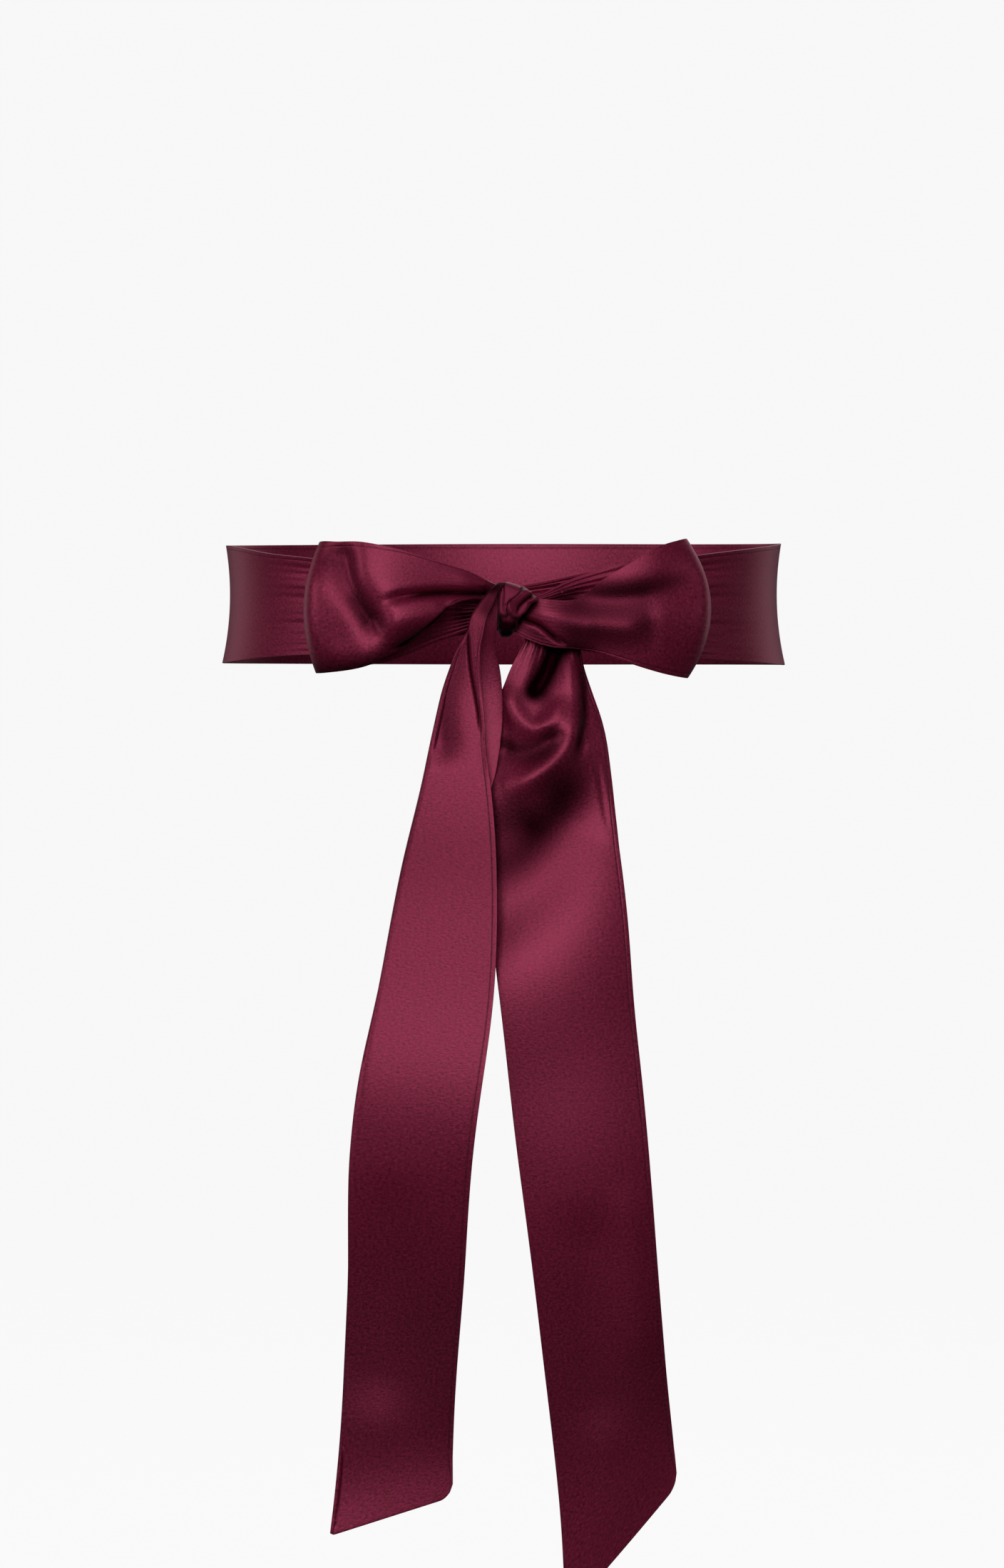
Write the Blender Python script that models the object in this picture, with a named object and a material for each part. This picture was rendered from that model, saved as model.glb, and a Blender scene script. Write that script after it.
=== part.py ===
"""A satin sash wound round a waist and tied in a bow at the back.

It is one strip of doubled satin, cut slanted at both ends. Each stretch that shows is an object of
its own. The origin is the middle of the waist, halfway up the sash. The waist faces -Y and the bow
is at +Y, so +X is the wearer's left. Sizes in this file are millimetres and angles are degrees.
"""

from collections import namedtuple

import bmesh
import bpy
import numpy as np

MM = 0.001
WALL = 1.3
SEAM_GAP = 0.3

WAIST_HALF_BREADTH = 159.0
WAIST_HALF_DEPTH = 113.0
# The sash stands away from the narrowest line of the waist at its upper and lower edge.
WAIST_FLARE = 14.0
WAIST_NARROWEST = 0.42
FLARE_HEIGHT = 70.0

# The knot is a boxy pebble whose top slopes down from its peak towards its right end.
KNOT_MIDDLE_Y = 129.0
KNOT_MIDDLE_Z = -2.3
KNOT_HALF_DEPTH = 12.6
KNOT_HALF_HEIGHT = 15.4
KNOT_BOXINESS = 3.8
KNOT_PEAK_X = -1.4
KNOT_SLOPE = 0.3

BAND_PLEATS = 3.5
NECK_PLEATS = 3.0
TAIL_PLEATS = 4.5
CORNER_RADIUS = 7.0
CORNER_FADE = 21.0

# How many faces run along and across each stretch.
Mesh = namedtuple("Mesh", "along across")
BAND_FRONT_MESH = Mesh(30, 4)
BAND_SIDE_MESH = Mesh(22, 14)
LOOP_MESH = Mesh(44, 16)
TAIL_MESH = Mesh(34, 13)
KNOT_MESH = Mesh(24, 36)
# The folded tail has three strips across: front layer, fold and back layer.
FOLDED_STRIPS = (6, 4, 6)

SATIN = {"colour": (0.155, 0.012, 0.028), "roughness": 0.36, "metallic": 0.1}
SATIN_SHADED = {"colour": (0.12, 0.009, 0.022), "roughness": 0.38, "metallic": 0.1}
SATIN_KNOT = {"colour": (0.14, 0.011, 0.026), "roughness": 0.37, "metallic": 0.1}

# The band lies on the waist's ellipse. angle turns from +X to +Y, top and bottom are heights,
# lift is how far it stands off the waist and pleat how deep its gathers are.
BandRow = namedtuple("BandRow", "angle top bottom lift pleat")
BAND_FRONT = (
    BandRow(180, 36.0, -35.0, 0.0, 0.0),
    BandRow(225, 36.8, -36.0, 0.0, 0.0),
    BandRow(270, 37.5, -36.5, 0.0, 0.0),
    BandRow(315, 36.4, -35.6, 0.0, 0.0),
    BandRow(360, 34.8, -34.0, 0.0, 0.0),
)
BAND_LEFT = (
    BandRow(0, 34.8, -34.0, 0.0, 0.0),
    BandRow(19, 33.3, -32.2, 0.0, 0.0),
    BandRow(34, 29.4, -29.6, 0.2, 0.1),
    BandRow(46, 26.8, -28.0, 0.5, 0.4),
    BandRow(60, 22.5, -26.5, 1.0, 0.9),
    BandRow(73, 17.5, -21.4, 1.2, 1.2),
    BandRow(83, 12.5, -15.8, 1.2, 1.2),
    BandRow(92.8, 10.0, -13.0, 0.8, 1.0),
)
BAND_RIGHT = (
    BandRow(180, 36.0, -35.0, 0.0, 0.0),
    BandRow(165, 34.4, -34.2, 0.0, 0.0),
    BandRow(149, 31.8, -32.2, 0.2, 0.1),
    BandRow(137, 29.2, -30.5, 0.5, 0.4),
    BandRow(121, 24.0, -27.5, 1.0, 0.9),
    BandRow(107, 17.8, -21.4, 1.2, 1.2),
    BandRow(98, 12.5, -15.6, 1.2, 1.2),
    BandRow(93.0, 10.0, -13.0, 0.8, 1.0),
)

# A ribbon runs between two edges. Each row gives a point of the upper edge, the point of the
# lower edge across from it, how far the middle is puffed out and how deep its gathers are.
RibbonRow = namedtuple("RibbonRow", "ax ay az bx by bz puff pleat")
LOOP_LEFT = (
    RibbonRow(3.8, 130.5, 11.0, 3.8, 130.5, 1.5, 0.0, 0.4),
    RibbonRow(16.0, 133.0, 17.0, 13.5, 132.5, 3.4, 1.5, 0.5),
    RibbonRow(34.0, 137.5, 23.2, 27.0, 135.0, 1.8, 3.5, 0.4),
    RibbonRow(53.0, 140.5, 29.4, 39.0, 138.0, -8.0, 5.0, 0.2),
    RibbonRow(68.0, 141.0, 33.0, 55.0, 140.5, -22.5, 6.0, 0.0),
    RibbonRow(82.0, 138.0, 35.2, 74.0, 139.0, -32.2, 6.5, 0.0),
    RibbonRow(94.0, 130.5, 35.4, 91.5, 131.5, -36.0, 6.5, 0.0),
    RibbonRow(101.5, 119.0, 34.2, 103.5, 119.5, -37.4, 7.5, 0.0),
    RibbonRow(93.0, 109.0, 29.5, 95.0, 109.0, -35.2, 4.0, 0.0),
    RibbonRow(70.0, 110.0, 23.5, 67.0, 110.5, -32.0, 0.5, 0.3),
    RibbonRow(46.0, 114.0, 17.5, 42.5, 114.5, -22.6, 0.0, 0.7),
    RibbonRow(25.0, 118.5, 11.5, 22.5, 118.5, -15.0, 0.0, 0.8),
    RibbonRow(3.8, 120.5, 6.0, 3.8, 120.5, -9.0, 0.0, 0.4),
)
LOOP_RIGHT = (
    RibbonRow(-19.6, 131.0, 3.2, -7.0, 131.0, -15.5, 0.0, 0.4),
    RibbonRow(-28.5, 132.5, 2.8, -24.0, 132.5, -22.6, 1.0, 0.7),
    RibbonRow(-39.0, 134.5, 4.0, -37.0, 134.5, -24.0, 2.0, 0.5),
    RibbonRow(-52.6, 136.5, 12.9, -52.6, 136.5, -26.7, 2.5, 0.2),
    RibbonRow(-68.5, 136.5, 22.4, -68.5, 136.5, -31.8, 3.5, 0.0),
    RibbonRow(-84.0, 132.5, 31.5, -84.0, 132.5, -36.6, 5.5, 0.0),
    RibbonRow(-95.5, 125.0, 35.4, -95.5, 125.0, -39.3, 9.0, 0.0),
    RibbonRow(-101.3, 114.5, 36.2, -102.0, 114.5, -40.0, 13.0, 0.0),
    RibbonRow(-92.0, 107.0, 31.0, -93.0, 107.0, -36.5, 6.0, 0.0),
    RibbonRow(-72.0, 109.5, 25.0, -70.0, 109.5, -31.0, 0.5, 0.3),
    RibbonRow(-48.0, 114.0, 18.0, -47.0, 114.0, -22.6, 0.0, 0.7),
    RibbonRow(-34.0, 117.5, 12.5, -32.0, 117.5, -15.0, 0.0, 0.8),
    RibbonRow(-20.6, 120.5, 6.0, -19.8, 120.5, -8.0, 0.0, 0.4),
)
# The right tail's first edge is the one beside the left tail, its second is the outer one.
TAIL_RIGHT = (
    RibbonRow(-12.3, 125.5, -4.5, -14.9, 125.5, -1.0, 0.0, 0.0),
    RibbonRow(-13.0, 125.5, -12.0, -29.0, 124.8, -8.0, 0.0, 0.4),
    RibbonRow(-11.4, 126.0, -20.5, -40.5, 124.6, -19.5, 0.5, 1.0),
    RibbonRow(-6.5, 127.0, -30.0, -43.5, 124.8, -29.5, 2.0, 1.0),
    RibbonRow(-1.5, 128.2, -41.5, -46.5, 125.6, -41.0, 4.0, 0.6),
    RibbonRow(3.2, 130.5, -59.0, -52.3, 128.5, -59.0, 5.0, 0.2),
    RibbonRow(6.5, 136.0, -98.0, -59.3, 134.5, -98.0, 5.0, 0.0),
    RibbonRow(7.6, 144.0, -137.0, -63.2, 142.0, -137.0, 4.5, 0.0),
    RibbonRow(6.0, 152.0, -175.5, -66.8, 149.0, -175.5, 4.0, 0.0),
    RibbonRow(1.6, 159.0, -214.0, -70.2, 155.0, -214.0, 3.5, 0.0),
    RibbonRow(-2.4, 163.5, -252.0, -74.4, 159.0, -252.0, 3.0, 0.0),
    RibbonRow(-6.8, 165.5, -291.0, -78.0, 161.0, -291.0, 3.0, 0.0),
    RibbonRow(-11.8, 165.0, -329.0, -81.2, 160.5, -329.0, 3.0, 0.0),
    RibbonRow(-17.0, 163.0, -371.0, -84.3, 158.5, -367.0, 3.0, 0.0),
    RibbonRow(-22.0, 161.0, -414.0, -87.2, 156.5, -402.0, 3.0, 0.0),
    RibbonRow(-27.2, 160.0, -458.0, -90.2, 155.5, -434.0, 3.0, 0.0),
    RibbonRow(-31.4, 160.0, -502.0, -92.8, 155.5, -459.0, 2.5, 0.0),
    RibbonRow(-33.6, 160.0, -550.0, -94.4, 156.0, -480.0, 2.0, 0.0),
)

# The left tail is folded lengthwise. At each height the front layer runs from the seam edge to
# the fold, and the back layer from the fold to the back edge. slant is how much higher the fold
# is than the seam edge, and roll the radius of the fold.
FoldedRow = namedtuple("FoldedRow", "z slant seam_x seam_y fold_x fold_y back_x back_y roll")
TAIL_LEFT = (
    FoldedRow(8.0, 0.0, 3.6, 141.4, 8.0, 140.8, 4.0, 138.0, 1.2),
    FoldedRow(2.0, 0.0, 7.6, 142.6, 13.4, 141.4, 3.4, 138.0, 1.4),
    FoldedRow(-6.0, 0.0, 9.4, 143.0, 17.6, 141.4, 3.3, 137.4, 1.6),
    FoldedRow(-14.0, 0.0, 10.8, 142.8, 20.0, 141.0, 3.8, 136.2, 1.8),
    FoldedRow(-22.0, 0.0, 12.4, 142.0, 24.2, 140.0, 4.2, 134.4, 2.0),
    FoldedRow(-34.0, 0.0, 12.8, 141.2, 29.2, 139.0, 2.2, 133.0, 2.4),
    FoldedRow(-46.0, 0.0, 11.8, 141.2, 33.2, 139.2, 0.8, 133.0, 2.6),
    FoldedRow(-59.0, 0.0, 10.6, 142.6, 36.4, 140.4, 0.4, 134.6, 2.8),
    FoldedRow(-78.0, 0.0, 9.6, 145.4, 40.6, 142.0, 2.0, 138.2, 2.8),
    FoldedRow(-98.0, 0.0, 7.2, 149.0, 44.8, 144.0, 6.0, 142.6, 2.6),
    FoldedRow(-137.0, 0.0, 4.0, 156.5, 54.2, 149.0, 26.0, 147.0, 2.4),
    FoldedRow(-175.5, 0.0, 3.6, 164.0, 61.9, 155.0, 44.0, 153.0, 2.2),
    FoldedRow(-214.0, 0.0, 5.4, 169.0, 68.6, 159.5, 58.0, 157.0, 2.0),
    FoldedRow(-252.0, 0.0, 9.7, 171.5, 74.4, 162.0, 67.0, 159.0, 2.0),
    FoldedRow(-291.0, 0.0, 14.8, 172.0, 78.8, 162.5, 72.5, 159.5, 2.0),
    FoldedRow(-329.0, 0.0, 18.5, 170.5, 82.2, 162.0, 77.0, 159.0, 1.8),
    FoldedRow(-368.0, -1.0, 21.4, 169.0, 84.4, 161.0, 80.0, 158.4, 1.8),
    FoldedRow(-406.0, -4.0, 24.6, 168.0, 86.2, 161.5, 82.0, 159.0, 1.6),
    FoldedRow(-445.0, -10.0, 27.0, 168.0, 88.6, 165.0, 85.0, 162.6, 1.4),
    FoldedRow(-483.5, -20.5, 28.0, 169.5, 93.4, 171.0, 91.0, 168.8, 1.2),
)

# Where the two ends of the knot lie at each height.
KnotRow = namedtuple("KnotRow", "z left_x right_x")
KNOT_SIDES = (
    KnotRow(-17.7, 3.4, -5.5),
    KnotRow(-8.0, 3.4, -8.8),
    KnotRow(-4.0, 3.4, -11.7),
    KnotRow(1.5, 3.4, -14.8),
    KnotRow(4.0, 3.4, -18.4),
    KnotRow(8.0, 3.4, -18.6),
    KnotRow(13.1, 3.0, -14.0),
)

# A fold is a soft ridge, or a trough where depth is negative, along a smooth line through the
# points of its path, which are (x, z) seen from the bow's side.
Fold = namedtuple("Fold", "width depth path")
LOOP_LEFT_FOLDS = (
    Fold(3.6, -3.8, ((0.0, 3.4), (20.0, 5.6), (38.8, 6.4), (60.8, 3.9), (74.0, 1.0))),
    Fold(8.0, -6.2, ((62.0, 35.0), (73.0, 23.0), (80.5, 10.5), (79.5, -1.0), (73.0, -12.0))),
    Fold(6.0, 1.8, ((92.9, 27.0), (103.0, 0.0), (92.0, -20.0), (74.0, -17.0))),
    Fold(5.0, 2.4, ((4.0, 10.0), (32.0, 15.5), (58.0, 16.0))),
    Fold(4.5, 2.4, ((24.0, 0.0), (44.0, -2.5), (66.0, -8.0))),
)
LOOP_RIGHT_FOLDS = (
    Fold(4.5, -3.6, ((-34.0, 4.0), (-48.0, 1.0), (-77.0, 1.6), (-92.0, 7.0))),
    Fold(7.0, -2.0, ((-42.0, 8.0), (-66.0, 11.5), (-96.0, 24.0))),
    Fold(5.5, 2.3, ((-22.0, -1.0), (-50.0, -5.4), (-78.0, -7.5))),
    Fold(2.6, -2.2, ((-14.0, -8.6), (-26.0, -13.6), (-40.0, -20.5))),
    Fold(3.2, 1.6, ((-12.0, -13.0), (-26.0, -18.0), (-42.0, -23.5))),
)
TAIL_LEFT_FOLDS = (
    Fold(8.0, -2.3, ((21.0, -30.0), (28.5, -60.0), (32.0, -130.0))),
    Fold(14.0, 2.5, ((16.0, -120.0), (30.0, -190.0), (40.0, -260.0))),
    Fold(14.0, -2.5, ((60.0, -300.0), (62.0, -380.0), (70.0, -450.0))),
)
TAIL_RIGHT_FOLDS = (
    Fold(4.6, 3.2, ((-2.0, -44.0), (-9.0, -61.0), (-18.6, -67.0), (-29.0, -60.0), (-35.6, -38.0))),
    Fold(5.6, -3.4, ((-28.0, -24.0), (-23.0, -38.0), (-18.5, -55.0))),
    Fold(7.0, 3.2, ((-37.0, -48.0), (-36.0, -76.0), (-16.0, -93.0), (2.0, -101.0))),
    Fold(12.0, -3.0, ((5.0, -146.0), (-18.0, -124.0), (-46.0, -96.0))),
    Fold(18.0, 3.4, ((-2.0, -192.0), (-30.0, -168.0), (-64.0, -130.0))),
    Fold(15.0, -2.2, ((-44.0, -300.0), (-48.0, -390.0), (-56.0, -460.0))),
)
KNOT_FOLDS = (
    Fold(1.7, 1.4, ((-13.0, 9.0), (-5.0, 3.0), (-5.4, -4.6), (-11.0, -3.6), (-17.0, 4.0))),
    Fold(1.5, -1.7, ((-15.5, 7.6), (-11.0, 3.0), (-8.6, -1.0))),
    Fold(1.6, -1.4, ((-8.4, 10.0), (-1.4, 3.0), (-2.0, -6.4))),
    Fold(1.8, -1.2, ((2.6, -6.0), (-4.0, -9.6), (-9.0, -7.4))),
)
FOLD_STEPS = 24
FOLD_TAPER = 0.22
# A fold fades from full to nothing as the cloth turns away from the bow's side.
FOLD_FULL_FACING = 0.75
FOLD_LEAST_FACING = 0.12


def clear_scene():
    for thing in list(bpy.data.objects):
        bpy.data.objects.remove(thing, do_unlink=True)


def spline(knots, values, at):
    """The natural cubic spline through the values at the knots, read at the given places."""
    gaps = np.diff(knots)
    last = len(knots) - 1
    system = np.eye(last + 1)
    target = np.zeros((last + 1, values.shape[1]))
    for i in range(1, last):
        system[i, i - 1 : i + 2] = gaps[i - 1], 2 * (gaps[i - 1] + gaps[i]), gaps[i]
        rise = (values[i + 1] - values[i]) / gaps[i]
        target[i] = 6 * (rise - (values[i] - values[i - 1]) / gaps[i - 1])
    bend = np.linalg.solve(system, target)
    low = np.clip(np.searchsorted(knots, at) - 1, 0, last - 1)
    gap = gaps[low][:, None]
    after = (knots[low + 1] - at)[:, None]
    before = (at - knots[low])[:, None]
    curved = (bend[low] * after**3 + bend[low + 1] * before**3) / (6 * gap)
    straight = (values[low] / gap - bend[low] * gap / 6) * after
    return curved + straight + (values[low + 1] / gap - bend[low + 1] * gap / 6) * before


def smooth_rows(rows, lengths, count):
    """The table's columns by name, read at even steps along the rows' lengths."""
    knots = np.concatenate([[0], np.cumsum(lengths)])
    values = spline(knots, np.array(rows, float), np.linspace(0, knots[-1], count + 1))
    return type(rows[0])(*(column[:, None] for column in values.T))


def points(x, y, z):
    return np.stack(np.broadcast_arrays(x, y, z), axis=-1)


def face_normals(grid, side):
    """The unit normal at each point of a grid; side turns it to face outwards."""
    normal = side * np.cross(np.gradient(grid, axis=0), np.gradient(grid, axis=1))
    return normal / np.linalg.norm(normal, axis=2, keepdims=True)


def pleats(share, count):
    """Even gathers across a stretch, from crest to crest."""
    return np.cos(2 * np.pi * count * share)


def band_grid(rows, mesh):
    """A stretch of the band on the waist's ellipse, from its top edge down."""
    turns = np.radians([row.angle for row in rows])
    row = smooth_rows(rows, np.abs(np.diff(turns)), mesh.along)
    share = np.linspace(0, 1, mesh.across + 1)[None, :]
    turn = np.radians(row.angle)
    height = row.top - row.bottom
    flare = WAIST_FLARE * (height / FLARE_HEIGHT) ** 2 * (share - WAIST_NARROWEST) ** 2
    out = flare + row.lift + row.pleat * pleats(share, BAND_PLEATS)
    normal_x = WAIST_HALF_DEPTH * np.cos(turn)
    normal_y = WAIST_HALF_BREADTH * np.sin(turn)
    length = np.hypot(normal_x, normal_y)
    x = WAIST_HALF_BREADTH * np.cos(turn) + out * normal_x / length
    y = WAIST_HALF_DEPTH * np.sin(turn) + out * normal_y / length
    return points(x, y, row.top - height * share)


def ribbon_grid(rows, mesh, pleat_count, side):
    """A stretch between two edges, puffed out in the middle and gathered by its pleats."""
    middles = [np.array([r.ax + r.bx, r.ay + r.by, r.az + r.bz]) / 2 for r in rows]
    lengths = [np.linalg.norm(b - a) for a, b in zip(middles, middles[1:])]
    row = smooth_rows(rows, lengths, mesh.along)
    share = np.linspace(0, 1, mesh.across + 1)[None, :]
    x = row.ax + (row.bx - row.ax) * share
    y = row.ay + (row.by - row.ay) * share
    z = row.az + (row.bz - row.az) * share
    grid = points(x, y, z)
    out = row.puff * 4 * share * (1 - share) + row.pleat * pleats(share, pleat_count)
    return grid + out[:, :, None] * face_normals(grid, side)


def folded_grid(rows, mesh, strips):
    """A stretch folded lengthwise: front layer, round fold and back layer."""
    lengths = [a.z - b.z for a, b in zip(rows, rows[1:])]
    row = smooth_rows(rows, lengths, mesh.along)
    across_x = row.fold_x - row.seam_x
    across_y = row.fold_y - row.seam_y
    width = np.hypot(across_x, across_y)
    along_x, along_y = across_x / width, across_y / width
    out_x, out_y = -along_y, along_x
    front, fold, back = (np.linspace(0, 1, count + 1)[None, :] for count in strips)
    near_x = row.fold_x - row.roll * along_x
    near_y = row.fold_y - row.roll * along_y
    front_x = row.seam_x + (near_x - row.seam_x) * front
    front_y = row.seam_y + (near_y - row.seam_y) * front
    turn = np.pi * fold
    fold_x = near_x + row.roll * (out_x * (np.cos(turn) - 1) + along_x * np.sin(turn))
    fold_y = near_y + row.roll * (out_y * (np.cos(turn) - 1) + along_y * np.sin(turn))
    back_x = fold_x[:, -1:] + (row.back_x - fold_x[:, -1:]) * back
    back_y = fold_y[:, -1:] + (row.back_y - fold_y[:, -1:]) * back
    x = np.concatenate([front_x, fold_x[:, 1:], back_x[:, 1:]], axis=1)
    y = np.concatenate([front_y, fold_y[:, 1:], back_y[:, 1:]], axis=1)
    z = row.z + row.slant * (x - row.seam_x) / across_x
    return points(x, y, z)


def round_corners(grid):
    """Draws the two corners of a tail's end in to a soft radius."""
    across = np.linalg.norm(np.diff(grid, axis=1), axis=2).cumsum(axis=1)
    across = np.concatenate([np.zeros((len(grid), 1)), across], axis=1)
    from_edge = np.minimum(across, across[:, -1:] - across)
    inside = np.clip(1 - from_edge / CORNER_RADIUS, 0, 1)
    lift = CORNER_RADIUS * (1 - np.sqrt(1 - inside**2))
    along = np.linalg.norm(np.diff(grid, axis=0), axis=2)[::-1].cumsum(axis=0)[::-1]
    along = np.concatenate([along, np.zeros((1, grid.shape[1]))])
    near_end = np.clip(1 - along / CORNER_FADE, 0, 1)
    grid = grid.copy()
    grid[:, :, 2] += lift * near_end
    return grid


def fold_line(fold):
    """Points along a fold's smooth line, and how strong it is at each."""
    path = np.array(fold.path)
    knots = np.concatenate([[0], np.linalg.norm(np.diff(path, axis=0), axis=1).cumsum()])
    share = np.linspace(0, 1, FOLD_STEPS + 1)
    strength = np.clip(np.minimum(share, 1 - share) / FOLD_TAPER, 0, 1)
    return spline(knots, path, share * knots[-1]), strength**2 * (3 - 2 * strength)


def fold_height(places, folds):
    """How far the folds lift the points that lie at these (x, z) places."""
    height = np.zeros(len(places))
    every = np.arange(len(places))
    for fold in folds:
        line, strength = fold_line(fold)
        run = np.diff(line, axis=0)
        reach = places[:, None, :] - line[:-1]
        share = np.clip((reach * run).sum(axis=2) / (run * run).sum(axis=1), 0, 1)
        away = np.linalg.norm(reach - share[:, :, None] * run, axis=2)
        nearest = away.argmin(axis=1)
        steps = nearest + share[every, nearest]
        strong = np.interp(steps, np.arange(FOLD_STEPS + 1), strength)
        height += fold.depth * strong * np.exp(-((away[every, nearest] / fold.width) ** 2))
    return height


def facing_share(outward_y):
    """How much of a fold shows where the outward normal has this part along +Y."""
    span = FOLD_FULL_FACING - FOLD_LEAST_FACING
    return np.clip((outward_y - FOLD_LEAST_FACING) / span, 0, 1)


def relief(grid, folds, side):
    """Presses the folds into the faces that look to the bow's side."""
    normal = face_normals(grid, side)
    height = fold_height(grid[:, :, ::2].reshape(-1, 2), folds).reshape(normal.shape[:2])
    return grid + (height * facing_share(normal[:, :, 1]))[:, :, None] * normal


def satin_material(name, finish):
    material = bpy.data.materials.new(name)
    material.use_nodes = True
    shader = material.node_tree.nodes["Principled BSDF"]
    shader.inputs["Base Color"].default_value = (*finish["colour"], 1)
    shader.inputs["Roughness"].default_value = finish["roughness"]
    shader.inputs["Metallic"].default_value = finish["metallic"]
    material.diffuse_color = (*finish["colour"], 1)
    return material


def add_object(name, work, finish):
    mesh = bpy.data.meshes.new(name)
    work.to_mesh(mesh)
    work.free()
    mesh.shade_smooth()
    mesh.materials.append(satin_material(name + "_satin", finish))
    thing = bpy.data.objects.new(name, mesh)
    bpy.context.scene.collection.objects.link(thing)
    return thing


def add_cloth(name, grid, finish):
    """A grid primitive moved onto the grid's points, with the cloth's wall on both sides."""
    along, across = grid.shape[0] - 1, grid.shape[1] - 1
    work = bmesh.new()
    bmesh.ops.create_grid(work, x_segments=along, y_segments=across, size=1)
    for vert in work.verts:
        row = round((vert.co.x + 1) / 2 * along)
        column = round((vert.co.y + 1) / 2 * across)
        vert.co = grid[row, column] * MM
    cloth = add_object(name, work, finish)
    wall = cloth.modifiers.new("wall", "SOLIDIFY")
    wall.thickness = WALL * MM
    wall.offset = 0
    return cloth


def shorten(rows, angle):
    """Half a seam gap taken off the end of a band stretch that lies at the angle."""
    half_gap = np.degrees(SEAM_GAP / 2 / WAIST_HALF_DEPTH)
    inwards = np.sign(np.mean([row.angle for row in rows]) - angle)
    return [
        row._replace(angle=row.angle + inwards * half_gap) if row.angle == angle else row
        for row in rows
    ]


def build_band():
    front = shorten(shorten(BAND_FRONT, 180), 360)
    add_cloth("band_front", band_grid(front, BAND_FRONT_MESH), SATIN)
    add_cloth("band_left", band_grid(shorten(BAND_LEFT, 0), BAND_SIDE_MESH), SATIN)
    add_cloth("band_right", band_grid(shorten(BAND_RIGHT, 180), BAND_SIDE_MESH), SATIN)


def build_loops():
    left = ribbon_grid(LOOP_LEFT, LOOP_MESH, NECK_PLEATS, 1)
    add_cloth("loop_left", relief(left, LOOP_LEFT_FOLDS, 1), SATIN)
    right = ribbon_grid(LOOP_RIGHT, LOOP_MESH, NECK_PLEATS, -1)
    add_cloth("loop_right", relief(right, LOOP_RIGHT_FOLDS, -1), SATIN_SHADED)


def build_tails():
    left = round_corners(folded_grid(TAIL_LEFT, TAIL_MESH, FOLDED_STRIPS))
    add_cloth("tail_left", relief(left, TAIL_LEFT_FOLDS, -1), SATIN)
    right = round_corners(ribbon_grid(TAIL_RIGHT, TAIL_MESH, TAIL_PLEATS, 1))
    add_cloth("tail_right", relief(right, TAIL_RIGHT_FOLDS, 1), SATIN_SHADED)


def knot_shape(sphere):
    """Turns points of a sphere whose poles lie on X into the knot's pebble."""
    largest = np.abs(sphere) ** KNOT_BOXINESS
    boxy = sphere / (largest.sum(axis=1) ** (1 / KNOT_BOXINESS))[:, None]
    level = KNOT_MIDDLE_Z + KNOT_HALF_HEIGHT * boxy[:, 2]
    heights = [row.z for row in KNOT_SIDES]
    left = np.interp(level, heights, [row.left_x for row in KNOT_SIDES])
    right = np.interp(level, heights, [row.right_x for row in KNOT_SIDES])
    x = right + (left - right) * (boxy[:, 0] + 1) / 2
    slope = KNOT_SLOPE * np.minimum(x - KNOT_PEAK_X, 0) * np.clip(boxy[:, 2], 0, 1)
    return points(x, KNOT_MIDDLE_Y + KNOT_HALF_DEPTH * boxy[:, 1], level + slope)


def build_knot():
    """A sphere with its poles at the knot's two ends, shaped, with the folds of the wrap."""
    work = bmesh.new()
    bmesh.ops.create_uvsphere(
        work, u_segments=KNOT_MESH.across, v_segments=KNOT_MESH.along, radius=1
    )
    sphere = np.array([vert.co for vert in work.verts])[:, [2, 0, 1]]
    shape = knot_shape(sphere)
    from_poles = np.hypot(sphere[:, 1], sphere[:, 2])
    pressed = fold_height(shape[:, ::2], KNOT_FOLDS) * facing_share(sphere[:, 1]) * from_poles
    shape += pressed[:, None] * sphere
    for vert, place in zip(work.verts, shape):
        vert.co = place * MM
    add_object("knot", work, SATIN_KNOT)


clear_scene()
build_band()
build_loops()
build_knot()
build_tails()
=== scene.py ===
"""A burgundy satin sash wound round a waist and tied in a bow at the back.

The strip is doubled satin, 75 mm wide. Sizes are millimetres unless a name says otherwise, and
angles are degrees. The bow is at +Y, the waist's front at -Y and the wearer's left at +X.
"""

import math
from collections import namedtuple

import bpy
import numpy as np
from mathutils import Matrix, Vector


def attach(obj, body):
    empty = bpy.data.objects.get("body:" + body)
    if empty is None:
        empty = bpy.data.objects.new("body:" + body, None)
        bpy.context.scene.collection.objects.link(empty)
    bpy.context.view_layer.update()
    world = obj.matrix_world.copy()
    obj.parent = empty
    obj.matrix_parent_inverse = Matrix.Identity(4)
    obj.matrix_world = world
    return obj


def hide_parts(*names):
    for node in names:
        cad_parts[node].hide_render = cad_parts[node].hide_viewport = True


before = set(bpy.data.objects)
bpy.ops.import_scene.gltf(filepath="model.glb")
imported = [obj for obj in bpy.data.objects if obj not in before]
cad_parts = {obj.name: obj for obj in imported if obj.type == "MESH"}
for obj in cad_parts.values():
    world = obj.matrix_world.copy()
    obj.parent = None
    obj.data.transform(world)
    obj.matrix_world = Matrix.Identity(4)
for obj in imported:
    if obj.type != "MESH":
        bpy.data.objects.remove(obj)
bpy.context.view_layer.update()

MM = 0.001
SASH_WIDTH = 75.0
CLOTH = 1.1
# The solids leave a little more between the band's stretches. Here their seams close up.
SEAM_GAP = 0.02
# Edges of the cloth's wall that turn by more than the angle are rounded.
EDGE_ROUNDING = 0.4
EDGE_LEAST_ANGLE = 50.0

# How long each stretch is on the flat cut.
BAND_FRONT_CUT = 432.0
BAND_SIDE_CUT = 214.0
LOOP_CUT = 215.0
TAIL_LEFT_CUT = 510.0
TAIL_RIGHT_CUT = 560.0

WAIST_HALF_BREADTH = 159.0
WAIST_HALF_DEPTH = 113.0
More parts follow.
